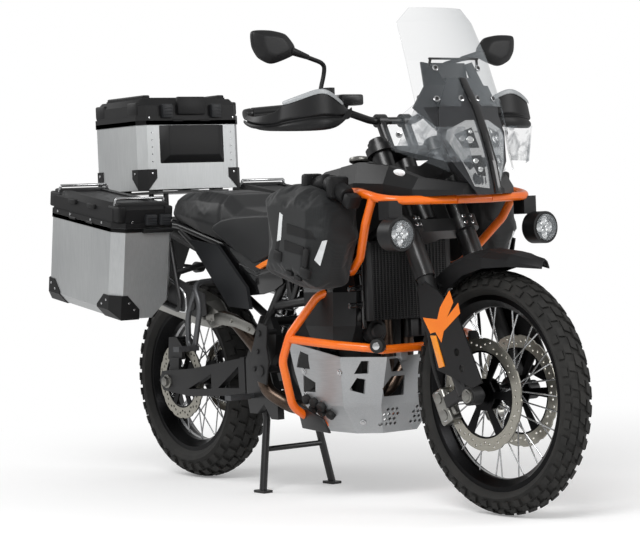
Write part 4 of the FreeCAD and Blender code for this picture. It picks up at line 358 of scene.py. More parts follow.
def addRod(bm, start, end, radius, edge=0.0, segments=24, endRadius=None):
    run = end - start
    part = bmesh.new()
    bmesh.ops.create_cone(part, cap_ends=True, segments=segments, radius1=radius,
                          radius2=endRadius or radius, depth=run.length)
    if edge:
        bevelEdges(part, [e for e in part.edges if abs(e.verts[0].co.z - e.verts[1].co.z) < 1e-6], edge)
    addTo(bm, part, Matrix.Translation((start + end) / 2) @ run.to_track_quat("Z", "Y").to_matrix().to_4x4())


# a flat outline given a thickness and a softened edge
def addPlate(bm, outline, depth, edge=0.0, segments=2):
    part = bmesh.new()
    face = part.faces.new([part.verts.new(p) for p in outline])
    grown = bmesh.ops.extrude_face_region(part, geom=[face])
    bmesh.ops.translate(part, vec=depth, verts=pickVerts(grown["geom"]))
    bmesh.ops.recalc_face_normals(part, faces=part.faces)
    if edge:
        bevelEdges(part, part.edges[:], edge, segments)
    addTo(bm, part)


def mirrorSide(bm):
    copied = bmesh.ops.duplicate(bm, geom=bm.verts[:] + bm.edges[:] + bm.faces[:])["geom"]
    bmesh.ops.scale(bm, vec=(1, -1, 1), verts=pickVerts(copied))
    bmesh.ops.reverse_faces(bm, faces=[g for g in copied if isinstance(g, bmesh.types.BMFace)])


def finishPiece(bm, name, look):
    if look.get("mirrored"):
        mirrorSide(bm)
    mesh = bpy.data.meshes.new(name)
    bm.normal_update()
    bm.to_mesh(mesh)
    bm.free()
    mesh.materials.append(made[look["finish"]])
    for face in mesh.polygons:
        face.use_smooth = True
    mesh.set_sharp_from_angle(angle=math.radians(look.get("sharpDegrees", 35)))
    piece = bpy.data.objects.new(name, mesh)
    bpy.context.scene.collection.objects.link(piece)
    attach(piece, look.get("body", "chassis"))
    if "replaces" in look:
        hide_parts(look["replaces"])
    return piece


# a hose, cable or bent rod along a smooth line, made a mesh
def bentRod(name, look):
    curve = bpy.data.curves.new(name, "CURVE")
    curve.dimensions = "3D"
    curve.bevel_depth = look["radius"] / 1000
    curve.bevel_resolution = look["sides"]
    curve.use_fill_caps = True
    line = curve.splines.new("NURBS")
    line.points.add(len(look["points"]) - 1)
    for point, place in zip(line.points, look["points"]):
        point.co = (*at(*place), 1)
    line.order_u = 3
    line.use_endpoint_u = True
    temporary = bpy.data.objects.new(name, curve)
    bpy.context.scene.collection.objects.link(temporary)
    mesh = bpy.data.meshes.new_from_object(temporary.evaluated_get(bpy.context.evaluated_depsgraph_get()))
    bpy.data.objects.remove(temporary)
    bpy.data.curves.remove(curve)
    bm = bmesh.new()
    bm.from_mesh(mesh)
    bpy.data.meshes.remove(mesh)
    bmesh.ops.remove_doubles(bm, verts=bm.verts, dist=1e-6)
    bmesh.ops.recalc_face_normals(bm, faces=bm.faces)
    return finishPiece(bm, name, {"mirrored": True, "sharpDegrees": 60, **look})


# lays a flat shape on another piece's surface, seen along a direction, and thickens it
def layOn(bm, surface, flat, direction, proud, mirrored=False):
    tree = BVHTree.FromObject(surface, bpy.context.evaluated_depsgraph_get())
    for v in flat.verts:
        hit = tree.ray_cast(v.co - direction * 0.3, direction)
        v.co = (hit[0] if hit[0] else v.co) - direction * proud
    bmesh.ops.recalc_face_normals(flat, faces=flat.faces)
    flat.faces.ensure_lookup_table()
    if flat.faces[0].normal.dot(direction) > 0:
        bmesh.ops.reverse_faces(flat, faces=flat.faces)
    bmesh.ops.solidify(flat, geom=flat.faces[:], thickness=proud + 0.0015)
    if mirrored:
        mirrorSide(flat)
    addTo(bm, flat)


# a four-cornered strip or patch laid on another piece
def addPatch(bm, surface, corners, direction, proud, steps):
    part = bmesh.new()
    bmesh.ops.create_grid(part, x_segments=steps[0], y_segments=steps[1], size=0.5)
    low, right, high, left = corners
    for v in part.verts:
        u, w = v.co.x + 0.5, v.co.y + 0.5
        v.co = (low * (1 - u) + right * u) * (1 - w) + (left * (1 - u) + high * u) * w
    layOn(bm, surface, part, direction, proud)


# a round head seated on another piece, with its axis against the direction of sight
def addHead(bm, surface, place, direction, radius, height, edge=0.0, segments=16):
    tree = BVHTree.FromObject(surface, bpy.context.evaluated_depsgraph_get())
    foot, normal = tree.ray_cast(place - direction * 0.3, direction)[:2]
    if not foot:
        return
    if normal.dot(direction) > 0:
        normal = -normal
    addRod(bm, foot - normal * 0.002, foot + normal * height, radius, edge, segments)


# a shell built up in steps from its open lower edge: each step goes in by one amount and up by another
def addSteppedShell(bm, outline, steps, wall):
    part = bmesh.new()
    face = part.faces.new([part.verts.new(p) for p in outline])
    face.normal_update()
    if face.normal.z < 0:
        face.normal_flip()
    for inward, rise in steps:
        if inward:
            bmesh.ops.inset_region(part, faces=[face], thickness=inward / 1000, depth=rise / 1000,
                                   use_even_offset=True, use_boundary=True)
        else:
            face = bmesh.ops.extrude_discrete_faces(part, faces=[face])["faces"][0]
            bmesh.ops.translate(part, vec=(0, 0, rise / 1000), verts=face.verts)
    bmesh.ops.solidify(part, geom=part.faces[:], thickness=wall / 1000)
    addTo(bm, part)


# a block trimmed by planes, given as a point and the way that is cut off
def addTrimmed(bm, low, high, planes, edge=0.0):
    part = bmesh.new()
    bmesh.ops.create_cube(part, size=1)
    bmesh.ops.scale(part, vec=high - low, verts=part.verts)
    bmesh.ops.translate(part, vec=(low + high) / 2, verts=part.verts)
    for point, normal in planes:
        cut = bmesh.ops.bisect_plane(part, geom=part.verts[:] + part.edges[:] + part.faces[:], plane_co=point,
                                     plane_no=Vector(normal).normalized(), clear_outer=True)
        rim = [g for g in cut["geom_cut"] if isinstance(g, bmesh.types.BMEdge)]
        if rim:
            bmesh.ops.contextual_create(part, geom=rim)
    bmesh.ops.recalc_face_normals(part, faces=part.faces)
    if edge:
        bevelEdges(part, part.edges[:], edge)
    addTo(bm, part)


# a piece from its dictionary, in millimetres forward of the rear axle, to the left and up
# a row of each kind of shape holds:
# rods: both ends, radius, edge, segments, end radius; blocks: centre, size, edge, turn, segments
# plates: distance across the bike, depth, edge, outline, segments; trimmed: low and high corner, planes, edge
# heads: piece under it, place, direction, radius, height, edge, segments
# patches: piece under it, four corners, direction, height, steps
def addShapes(bm, look, place=at):
    for start, end, radius, edge, segments, *more in look.get("rods", ()):
        addRod(bm, place(*start), place(*end), radius / 1000, edge / 1000, segments,
               *(r / 1000 for r in more))
    for centre, size, edge, *more in look.get("blocks", ()):
        addBlock(bm, place(*centre), mm(*size), edge / 1000, *more)
    for y, depth, edge, outline, *more in look.get("plates", ()):
        addPlate(bm, [place(x, y, z) for x, z in outline], mm(0, depth, 0), edge / 1000, *more)
    for low, high, planes, edge in look.get("trimmed", ()):
        addTrimmed(bm, place(*low), place(*high), [(place(*p), normal) for p, normal in planes], edge / 1000)
    for surface, head, direction, radius, height, edge, segments in look.get("heads", ()):
        addHead(bm, surface, place(*head), direction, radius / 1000, height / 1000, edge / 1000, segments)
    for surface, corners, direction, proud, steps in look.get("patches", ()):
        addPatch(bm, surface, [place(*c) for c in corners], direction, proud / 1000, steps)


def makePiece(name, look, bm=None):
    if bm is None:
        bm = bmesh.new()
    addShapes(bm, look)
    return finishPiece(bm, name, look)


# a piece's own copy of its solid, with its doubled corners merged
def solidFrom(nodeName, name):
    piece = bpy.data.objects.new(name, nodes[nodeName].data.copy())
    bpy.context.scene.collection.objects.link(piece)
    bm = bmesh.new()
    bm.from_mesh(piece.data)
    bmesh.ops.remove_doubles(bm, verts=bm.verts, dist=0.00002)
    bm.to_mesh(piece.data)
    bm.free()
    return piece


def applyModifiers(piece):
    solid = bpy.data.meshes.new_from_object(piece.evaluated_get(bpy.context.evaluated_depsgraph_get()))
    piece.modifiers.clear()
    piece.data = solid


# the camera that the photograph was taken with, as the record has it
view = {"place": (5.347, -4.015, 0.872), "target": (-0.079, 0, 0.695), "rollDegrees": -2.39, "lensMm": 121.4}
camera = bpy.data.objects.new("camera", bpy.data.cameras.new("camera"))
bpy.context.scene.collection.objects.link(camera)
camera.data.lens = view["lensMm"]
camera.data.sensor_width = 36
towards = (Vector(view["target"]) - Vector(view["place"])).normalized()
levelRight = towards.cross(Vector((0, 0, 1))).normalized()
tilt = Matrix.Rotation(math.radians(-view["rollDegrees"]), 3, towards)
right = tilt @ levelRight
camera.matrix_world = (Matrix.Translation(view["place"])
                       @ Matrix((right, right.cross(towards), -towards)).transposed().to_4x4())
bpy.context.scene.camera = camera
bpy.context.scene.view_settings.view_transform = "Standard"

studio = {"floorRadius": 14, "floorDrop": 0.0005, "fadeStart": 1.3, "fadeEnd": 2.9, "skyShare": 0.5,
          "keyWatts": 210, "fillWatts": 90, "rimWatts": 70}


def addLamp(name, place, target, watts, size):
    lamp = bpy.data.lights.new(name, "AREA")
    lamp.energy = watts
    lamp.shape = "RECTANGLE"
    lamp.size, lamp.size_y = size
    holder = bpy.data.objects.new(name, lamp)
    holder.matrix_world = (Matrix.Translation(place)
                           @ (Vector(target) - Vector(place)).to_track_quat("-Z", "Y").to_matrix().to_4x4())
    bpy.context.scene.collection.objects.link(holder)


addLamp("keyLamp", (3.2, -3.6, 4.2), (0, 0, 0.6), studio["keyWatts"], (3.0, 2.0))
addLamp("fillLamp", (4.6, 3.4, 2.6), (0, 0, 0.7), studio["fillWatts"], (2.5, 2.5))
addLamp("rimLamp", (-4.2, -2.4, 3.4), (0, 0, 0.7), studio["rimWatts"], (2.5, 2.0))
world = bpy.data.worlds.new("studioSky")
world.use_nodes = True
sky = world.node_tree
sky.nodes.clear()
rays = addNode(sky, "LightPath")
seenDirectly = addNode(sky, "Math", {"operation": "MAXIMUM"},
                       {0: rays.outputs["Is Camera Ray"], 1: rays.outputs["Is Transmission Ray"]})
plain = addNode(sky, "Background", {"Color": (1, 1, 1, 1), "Strength": studio["skyShare"]})
white = addNode(sky, "Background", {"Color": (1, 1, 1, 1), "Strength": 1.0})
chosen = addNode(sky, "MixShader", {}, {0: seenDirectly.outputs[0], 1: plain.outputs[0], 2: white.outputs[0]})
addNode(sky, "OutputWorld", links={"Surface": chosen.outputs[0]})
bpy.context.scene.world = world

floorMaterial = bpy.data.materials.new("paleFloor")
floorMaterial.use_nodes = True
floorTree = floorMaterial.node_tree
floorTree.nodes.clear()
rays = addNode(floorTree, "LightPath")
matt = addNode(floorTree, "BsdfDiffuse", {"Color": (0.86, 0.86, 0.86, 1)})
lift = addNode(floorTree, "Emission", {"Color": (1, 1, 1, 1), "Strength": 0.2})
lifted = addNode(floorTree, "AddShader", {}, {0: matt.outputs[0], 1: lift.outputs[0]})
far = addNode(floorTree, "Emission", {"Color": (1, 1, 1, 1), "Strength": 1.0})
spot = addNode(floorTree, "TexCoord").outputs["Object"]
reach = addNode(floorTree, "VectorMath", {"operation": "LENGTH"}, {0: spot}).outputs["Value"]
fade = addNode(floorTree, "MapRange", {"interpolation_type": "SMOOTHSTEP", "From Min": studio["fadeStart"],
                                       "From Max": studio["fadeEnd"]}, {"Value": reach})
seen = addNode(floorTree, "MixShader", {}, {0: fade.outputs["Result"], 1: lifted.outputs[0],
                                            2: far.outputs[0]})
chosen = addNode(floorTree, "MixShader", {}, {0: rays.outputs["Is Camera Ray"], 1: matt.outputs[0],
                                              2: seen.outputs[0]})
addNode(floorTree, "OutputMaterial", links={"Surface": chosen.outputs[0]})
bm = bmesh.new()
bmesh.ops.create_circle(bm, cap_ends=True, segments=96, radius=studio["floorRadius"])
floorMesh = bpy.data.meshes.new("floor")
bm.to_mesh(floorMesh)
bm.free()
floorMesh.materials.append(floorMaterial)
floor = bpy.data.objects.new("floor", floorMesh)
floor.location.z = -studio["floorDrop"]
bpy.context.scene.collection.objects.link(floor)
print("studio and camera placed")

# each row of blocks: place across the crown, width and length as shares, slant, and shift along the pitch
frontTread = {"axle": frontAxle, "radius": 0.347, "halfWidth": 0.047, "crownHeight": 0.047,
              "beadRadius": 0.268, "beadHalfWidth": 0.027, "blockHeight": 0.0075, "pitches": 42,
              "rows": [(0.16, 0.26, 0.62, 0.35, 0.0), (0.47, 0.28, 0.52, 0.25, 0.45),
                       (0.82, 0.3, 0.46, 0.1, 0.95)]}
rearTread = {"axle": rearAxle, "radius": 0.333, "halfWidth": 0.075, "crownHeight": 0.058, "beadRadius": 0.232,
             "beadHalfWidth": 0.050, "blockHeight": 0.009, "pitches": 36,
             "rows": [(0.15, 0.24, 0.64, 0.3, 0.0), (0.45, 0.28, 0.52, 0.2, 0.5),
                      (0.8, 0.3, 0.46, 0.08, 1.0)]}


def crownPoint(tyre, lean, outward):
    across = tyre["halfWidth"] * math.sin(lean)
    up = tyre["crownHeight"] * math.cos(lean)
    away = Vector((0, across / tyre["halfWidth"] ** 2, up / tyre["crownHeight"] ** 2)).normalized()
    return Vector((0, across, tyre["radius"] - tyre["crownHeight"] + up)) + away * outward


def makeTyre(name, tyre, body, nodeName):
    bm = bmesh.new()
    outer = [crownPoint(tyre, math.radians(a), -tyre["blockHeight"]) for a in range(-84, 85, 12)]
    wallTop = tyre["radius"] - tyre["crownHeight"]
    heel = tyre["beadHalfWidth"]
    low = tyre["beadRadius"]
    wall = [(tyre["halfWidth"] - 0.001, wallTop - 0.004),
            (tyre["halfWidth"] - 0.004, (wallTop + low) / 2 + 0.004),
            (heel + 0.007, low + 0.012), (heel + 0.004, low + 0.010), (heel + 0.001, low + 0.004),
            (heel, low)]
    points = outer + [Vector((0, y, z)) for y, z in wall]
    points += [Vector((0, y, z + t)) for y, z, t in ((heel - 0.007, low, 0), (heel - 0.004, low, 0.008))]
    points += [crownPoint(tyre, math.radians(a), -tyre["blockHeight"] - 0.007) for a in range(84, -85, -12)]
    points += [Vector((0, -y, z + t)) for y, z, t in ((heel - 0.004, low, 0.008), (heel - 0.007, low, 0))]
    points += [Vector((0, -y, z)) for y, z in reversed(wall)]
    ring = [bm.verts.new(p) for p in points]
    edges = [bm.edges.new((ring[i], ring[(i + 1) % len(ring)])) for i in range(len(ring))]
    bmesh.ops.spin(bm, geom=ring + edges, cent=(0, 0, 0), axis=(0, 1, 0), angle=math.tau, steps=120,
                   use_merge=True)
    bmesh.ops.remove_doubles(bm, verts=bm.verts, dist=1e-6)
    bmesh.ops.recalc_face_normals(bm, faces=bm.faces)
    pitch = math.tau / tyre["pitches"]
    span = math.radians(84)
    for place, width, length, slant, shift in tyre["rows"]:
        for side in (1, -1):
            for i in range(tyre["pitches"]):
                block = bmesh.new()
                bmesh.ops.create_cube(block, size=1)
                across = [e for e in block.edges if abs(e.verts[0].co.y - e.verts[1].co.y) > 0.5]
                bmesh.ops.subdivide_edges(block, edges=across, cuts=1)
                for v in block.verts:
                    half = 0.5 if side < 0 else 0
                    turn = pitch * (i + shift * 0.5 + half + length * (v.co.x + slant * v.co.y * side))
                    taper = 1 - 0.12 * (v.co.z > 0)  # blocks taper towards the road
                    lean = side * span * (place + width * v.co.y * taper)
                    up = crownPoint(tyre, lean, (-0.0005 if v.co.z > 0 else -tyre["blockHeight"] - 0.003))
                    v.co = Matrix.Rotation(turn, 3, "Y") @ up
                bmesh.ops.recalc_face_normals(block, faces=block.faces)
                addTo(bm, block)
    bmesh.ops.translate(bm, vec=tyre["axle"], verts=bm.verts)
    finishPiece(bm, name, {"finish": "tyreRubber", "body": body, "sharpDegrees": 28, "replaces": nodeName})


makeTyre("frontTyreRubber", frontTread, "front_wheel", "front_tyre")
makeTyre("rearTyreRubber", rearTread, "rear_wheel", "rear_tyre")
print("tyres made")


# a padded piece from its own CAD solid: remeshed, swollen as cloth under air pressure, and capped
def swell(name, nodeName, pad):
    piece = solidFrom(nodeName, name)
    remesh = piece.modifiers.new("even", "REMESH")
    remesh.mode = "VOXEL"
    remesh.voxel_size = pad["voxelMm"] / 1000
    applyModifiers(piece)
    start = [v.co.copy() for v in piece.data.vertices]
    cloth = piece.modifiers.new("cloth", "CLOTH")
    cloth.settings.use_pressure = True
    cloth.settings.uniform_pressure_force = pad["pressure"]
    cloth.settings.effector_weights.gravity = 0
    for step in range(1, pad["frames"] + 1):
        bpy.context.scene.frame_set(step)
    applyModifiers(piece)
    bpy.context.scene.frame_set(1)
    mesh = piece.data
    for v, origin in zip(mesh.vertices, start):
        move = v.co - origin
        limit = pad["capMm"] / 1000
        if move.length > limit:
            v.co = origin + move.normalized() * limit
    mesh.materials.clear()
    mesh.materials.append(made[pad["finish"]])
    for face in mesh.polygons:
        face.use_smooth = True
    pad["after"](mesh)
    smooth = piece.modifiers.new("smooth", "SMOOTH")
    smooth.factor, smooth.iterations = 0.5, 2
    rounder = piece.modifiers.new("round", "SUBSURF")
    rounder.levels = rounder.render_levels = 1
    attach(piece, "chassis")
    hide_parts(nodeName)


# presses in the step where the rider's seat ends and the raised rear cushion starts
def finishSeat(mesh):
    seam = {"x": rearAxleX + 0.300, "sweep": 0.35, "depth": 0.006, "width": 0.007}
    pushes = []
    for v in mesh.vertices:
        away = (v.co.x - seam["x"] - seam["sweep"] * abs(v.co.y)) / seam["width"]
        pushes.append(v.normal * (-seam["depth"] * math.exp(-away ** 2)))
    for v, push in zip(mesh.vertices, pushes):
        v.co += push


# the bags' rear ends are drawn in towards the tank, where their straps pull them
def drawIn(mesh):
    front, share = rearAxleX + 1.215, 0.84
    for v in mesh.vertices:
        v.co.x = front - (front - v.co.x) * share


swell("paddedSeat", "seat", {"finish": "seatVinyl", "slot": "seat_cover", "voxelMm": 6, "pressure": 4,
                             "frames": 20, "capMm": 6, "fill": 0.8, "after": finishSeat})
swell("paddedBags", "side_bags", {"finish": "coatedWeave", "slot": "bag_fabric", "voxelMm": 5, "pressure": 4,
                                  "frames": 20, "capMm": 9, "fill": 0.7, "after": drawIn})
print("seat and soft bags made")

# soft bags: webbing patches, reflective strips, buckles and the rolled top
bags = bpy.data.objects["paddedBags"]
sideways = Vector((0, 1, 0))
rearward = Vector((-1, 0, 0))
lineOfSight = Vector((-0.80, 0.60, -0.03))
webbing = [[(1077, 848), (1182, 825), (1192, 799), (1075, 821)],
           [(1061, 801), (1152, 780), (1156, 754), (1059, 773)]]
makePiece("bagWebbing", {
    "finish": "nylonBlack", "slot": "bag_fabric", "mirrored": True,
    "patches": [(bags, [(x, -392, z) for x, z in outline], sideways, 2.2, (12, 6)) for outline in webbing]})
strips = [[(1037, 881), (1051, 873), (1037, 801), (1018, 798)],
          [(1237, 795), (1262, 798), (1223, 725), (1196, 742)]]
makePiece("bagStrips", {
    "finish": "reflectiveFilm", "mirrored": True,
    "patches": [(bags, [(x, -392, z) for x, z in outline], lineOfSight, 2, (4, 12)) for outline in strips]})
roll = [(1062, -296, 948), (1160, -300, 962), (1246, -302, 918)]
makePiece("bagFittings", {
    "finish": "nylonBlack", "slot": "bag_fabric", "mirrored": True,
    "blocks": [((1025, -392, 756), (40, 16, 30), 4, 0.25), ((1025, -392, 790), (22, 6, 75), 1.5, 0.25),
               ((1152, -392, 705), (40, 16, 30), 4, 0.25), ((1152, -392, 739), (22, 6, 75), 1.5, 0.25),
               ((1068, -388, 705), (30, 10, 12), 2, 0.25), ((1110, -388, 690), (30, 10, 12), 2, 0.25),
               ((1085, -306, 958), (30, 64, 62), 8, 0.1), ((1205, -306, 946), (30, 64, 62), 8, 0.1),
               ((1262, -300, 905), (34, 46, 40), 8, 0.5)],
    "rods": [(start, end, 26, 8, 28) for start, end in zip(roll, roll[1:])]})

# nose: black border round each lens, reflector, lamp modules and bright strips, a ridge between the lenses
noseFairing = nodes["nose_fairing"]
nose = {
    "faceX": 1560,
    "lens": [(-16, 925), (-44, 932), (-106, 1070), (-98, 1092), (-40, 1118), (-18, 1118)],
    "ridge": [(1548, 908), (1528, 1000), (1497, 1084), (1462, 1160), (1407, 1244)],
    "modules": [[(-26, 1040), (-66, 1040), (-82, 1080), (-32, 1098)],
                [(-22, 958), (-40, 962), (-62, 1018), (-26, 1018)]],
    "projectors": [(-44, 1062, 11), (-64, 1066, 9), (-38, 1085, 6), (-32, 978, 8), (-42, 1002, 8)],
    "cheek": [(1380, -158, 1160), (1386, -118, 1222), (1408, -38, 1224), (1440, -34, 1150),
              (1432, -118, 1092)],
}


# the lens outline grown by an equal amount on every side
def lensFlat(amount):
    outline = [Vector(corner) for corner in nose["lens"]]
    flat = bmesh.new()
    verts = []
    for before, corner, after in zip(outline[-1:] + outline[:-1], outline, outline[1:] + outline[:1]):
        first = (corner - before).normalized().orthogonal()
        second = (after - corner).normalized().orthogonal()
        middle = (first + second).normalized()
        y, z = corner - middle * amount / middle.dot(first)
        verts.append(flat.verts.new(at(nose["faceX"], y, z)))
    return flat, flat.faces.new(verts)


def addLensRing(bm, growth, width, proud):
    flat, face = lensFlat(growth)
    bmesh.ops.inset_region(flat, faces=[face], thickness=width / 1000, use_even_offset=True,
                           use_boundary=True)
    bmesh.ops.delete(flat, geom=[face], context="FACES_ONLY")
    bmesh.ops.subdivide_edges(flat, edges=flat.edges[:], cuts=3, use_grid_fill=True)
    layOn(bm, noseFairing, flat, rearward, proud / 1000, True)


bm = bmesh.new()
addLensRing(bm, 16, 16, 12)
ridgeOutline = [(x + 9, z) for x, z in nose["ridge"]] + [(x - 6, z) for x, z in reversed(nose["ridge"])]
makePiece("noseBorder", {"finish": "glossBlack", "plates": [(-11, 22, 3, ridgeOutline)]}, bm)
bm = bmesh.new()
flat, face = lensFlat(-1)
bmesh.ops.triangulate(flat, faces=flat.faces[:])
bmesh.ops.subdivide_edges(flat, edges=flat.edges[:], cuts=3, use_grid_fill=True)
layOn(bm, noseFairing, flat, rearward, 0.001, True)
makePiece("lensReflectors", {"finish": "chrome"}, bm)
makePiece("lampModules", {
    "finish": "glossBlack", "mirrored": True,
    "patches": [(noseFairing, [(nose["faceX"], y, z) for y, z in outline], rearward, 3.5, (6, 6))
                for outline in nose["modules"]]})
makePiece("lampProjectors", {
    "finish": "chrome", "sharpDegrees": 50,
    "heads": [(noseFairing, (nose["faceX"], y * side, z), rearward, radius, 5, 2, 20)
              for y, z, radius in nose["projectors"] for side in (1, -1)]})
bm = bmesh.new()
addLensRing(bm, -3, 8, 4.5)
makePiece("lensStrips", {"finish": "whiteLens"}, bm)
bm = bmesh.new()
addPlate(bm, [at(*p) for p in nose["cheek"]], mm(-5, 0, 0))
bmesh.ops.triangulate(bm, faces=bm.faces[:])
makePiece("noseCheeks", {"finish": "noseGrey", "mirrored": True}, bm)
wingLens = {"size": (64, 16, 24), "above": (1338, 186, 1200), "headingTurn": 0.16, "slopeTurn": -0.7}
bm = bmesh.new()
bmesh.ops.create_uvsphere(bm, u_segments=28, v_segments=14, radius=0.5)
bmesh.ops.scale(bm, vec=mm(*wingLens["size"]), verts=bm.verts)
fairingTree = BVHTree.FromObject(nodes["side_fairings"], bpy.context.evaluated_depsgraph_get())
shoulder = fairingTree.ray_cast(at(*wingLens["above"]), Vector((0, 0, -1)))[0]
turned = Matrix.Rotation(wingLens["headingTurn"], 4, "Z") @ Matrix.Rotation(wingLens["slopeTurn"], 4, "X")
bmesh.ops.transform(bm, matrix=Matrix.Translation(shoulder) @ turned, verts=bm.verts)
makePiece("wingLenses", {"finish": "whiteLens", "mirrored": True, "sharpDegrees": 60}, bm)

# screen: ringed bolts, the grey arms that carry it, its lower wings with a painted reflection in patches, and
# the visor's hinge
screen = nodes["windscreen"]
screenHeads = [(1600, y, z) for y, z in ((-79, 1272), (-30, 1182), (-104, 1182), (-200, 1086))]
makePiece("screenWashers", {"finish": "polishedSteel", "mirrored": True,
                            "heads": [(screen, place, rearward, 9.5, 3.5, 1, 24) for place in screenHeads]})
makePiece("screenBolts", {"finish": "blackCoat", "mirrored": True,
                          "heads": [(screen, place, rearward, 5.5, 6, 0, 6) for place in screenHeads]})
bm = bmesh.new()
arm = [(1340, -96, 1292), (1352, -58, 1284), (1392, -52, 1232), (1428, -44, 1164), (1412, -92, 1150),
       (1372, -112, 1218)]
addPlate(bm, [at(*p) for p in arm], mm(6, 0, 2), 0.0015)
makePiece("screenArms", {"finish": "mouldedGrey", "slot": "black_plastic", "mirrored": True}, bm)
wing = [(1560, y, z) for y, z in ((-165, 1155), (-122, 1090), (-98, 992), (-211, 1046))]
# the lower wings carry a painted reflection of the studio in patches
makePiece("screenWings", {"finish": "mottledSheet", "mirrored": True,
                          "patches": [(screen, wing, rearward, 0.6, (10, 10))]})
makePiece("visorHinge", {
    "finish": "blackCoat", "slot": "black_plastic",
    "rods": [((1374, -90, 1276), (1377, -86, 1300), 4, 0, 16), ((1374, 90, 1276), (1377, 86, 1300), 4, 0, 16),
             ((1377, -92, 1300), (1377, 92, 1300), 3.2, 1, 16)]})

# auxiliary lamps: four chrome cups with a bright bead in each, under a clear cover
lamp = {"y": -270, "z": 806, "cupCircle": 18.9, "radius": 38.5}
lampTree = BVHTree.FromObject(nodes["auxiliary_lamps"], bpy.context.evaluated_depsgraph_get())
lampFace = (lampTree.ray_cast(at(1771, lamp["y"], lamp["z"]), rearward)[0].x - rearAxleX) * 1000


def lampRod(start, end, radius, edge, segments):
    return tuple((lampFace + x, lamp["y"], lamp["z"]) for x in (start, end)) + (radius, edge, segments)


cups = bmesh.new()
beads = bmesh.new()
for step in range(4):
    angle = math.tau * step / 4
    across, up = lamp["cupCircle"] * math.sin(angle), lamp["cupCircle"] * math.cos(angle)
    place = at(lampFace, lamp["y"] + across, lamp["z"] + up)
    cup = bmesh.new()
    bmesh.ops.create_cone(cup, cap_ends=False, segments=24, radius1=0.005, radius2=0.0145, depth=0.006)
    addTo(cups, cup, Matrix.Translation(place + mm(3.6, 0, 0)) @ Matrix.Rotation(-math.pi / 2, 4, "Y"))
    bead = bmesh.new()
    bmesh.ops.create_icosphere(bead, subdivisions=2, radius=0.0052)
    addTo(beads, bead, Matrix.Translation(place + mm(2, 0, 0)))
makePiece("lampCups", {"finish": "chrome", "mirrored": True, "sharpDegrees": 60,
                       "rods": [lampRod(0, 6, 4.8, 1, 20)]}, cups)
makePiece("lampBacks", {"finish": "glossBlack", "mirrored": True,
                        "rods": [lampRod(-1, 0.8, lamp["radius"], 0, 48)]})
makePiece("lampBeads", {"finish": "whiteLens", "slot": "lamp_chrome", "mirrored": True, "sharpDegrees": 60},
          beads)
makePiece("lampCovers", {"finish": "clearLens", "mirrored": True, "sharpDegrees": 60,
                         "rods": [lampRod(7, 8.2, lamp["radius"], 0.8, 48)]})
print("nose, screen and lamps made")

# fork guards: orange graphic and amber reflector; bolts of the calipers and clamps
graphic = [(1481, 643), (1495, 609), (1466, 567), (1516, 608), (1523, 579), (1449, 528), (1437, 496),
           (1412, 525), (1390, 520), (1359, 565), (1423, 561), (1437, 595)]
makePiece("guardGraphic", {"finish": "orangeFilm", "body": "front_end", "mirrored": True,
                           "plates": [(-136, -1.2, 0, graphic)]})
makePiece("guardReflectors", {"finish": "amberLens", "body": "front_end", "mirrored": True,
                              "plates": [(-135.5, -4, 1, [(1391, 515), (1415, 515), (1448, 429),
                                                          (1424, 423)])]})
calipers = nodes["front_calipers"]
caliperBolts = [(1403.06, 278.54), (1372.94, 339.46)]
boltAndWasher = ((7.5, 4, 6), (11.5, 1.2, 24))
makePiece("frontBolts", {
    "finish": "polishedSteel", "body": "front_end",
    "heads": [(calipers, (x, -106 * side, z), sideways * side, radius, height, 0, segments)
              for side in (1, -1) for x, z in caliperBolts for radius, height, segments in boltAndWasher]
    + [(nodes["triple_clamps"], (1500, y, z), rearward, 5.5, 4, 1, 12)
       for y in (-105, -85, 85, 105) for z in (848, 830)]})
bumpers = ((862, 316), (896, 308), (930, 300), (878, 290), (912, 282), (946, 274))
makePiece("skidBumpers", {"finish": "softRubber", "mirrored": True,
                          "heads": [(nodes["skid_plate"], (x, -230, z), sideways, 15, 16, 4, 24)
                                    for x, z in bumpers]})
print("fork, clamps and skid plate trimmed")


# a case's plan, with its corners cut off, grown by an equal amount
def casePlan(case, grow, z):
    rear, front = case["rear"] - grow, case["front"] + grow
    low, high = case["low"] - grow, case["high"] + grow
    cut, innerCut = case["cut"], case["innerCut"]
    return [case["place"](x, y, z) for x, y in (
        (rear + cut, low), (front - cut, low), (front, low + cut), (front, high - innerCut),
        (front - innerCut, high), (rear + innerCut, high), (rear, high - innerCut), (rear, low + cut))]


# the rim band under a lid
def addBand(bm, plan, width, height):
    band = bmesh.new()
    ringFace = band.faces.new([band.verts.new(p) for p in plan])
    bmesh.ops.inset_region(band, faces=[ringFace], thickness=width / 1000, use_even_offset=True,
                           use_boundary=True)
    bmesh.ops.delete(band, geom=[ringFace], context="FACES_ONLY")
    raised = bmesh.ops.extrude_face_region(band, geom=band.faces[:], use_keep_orig=True)
    bmesh.ops.translate(band, vec=mm(0, 0, height), verts=pickVerts(raised["geom"]))
    bmesh.ops.recalc_face_normals(band, faces=band.faces)
    addTo(bm, band)


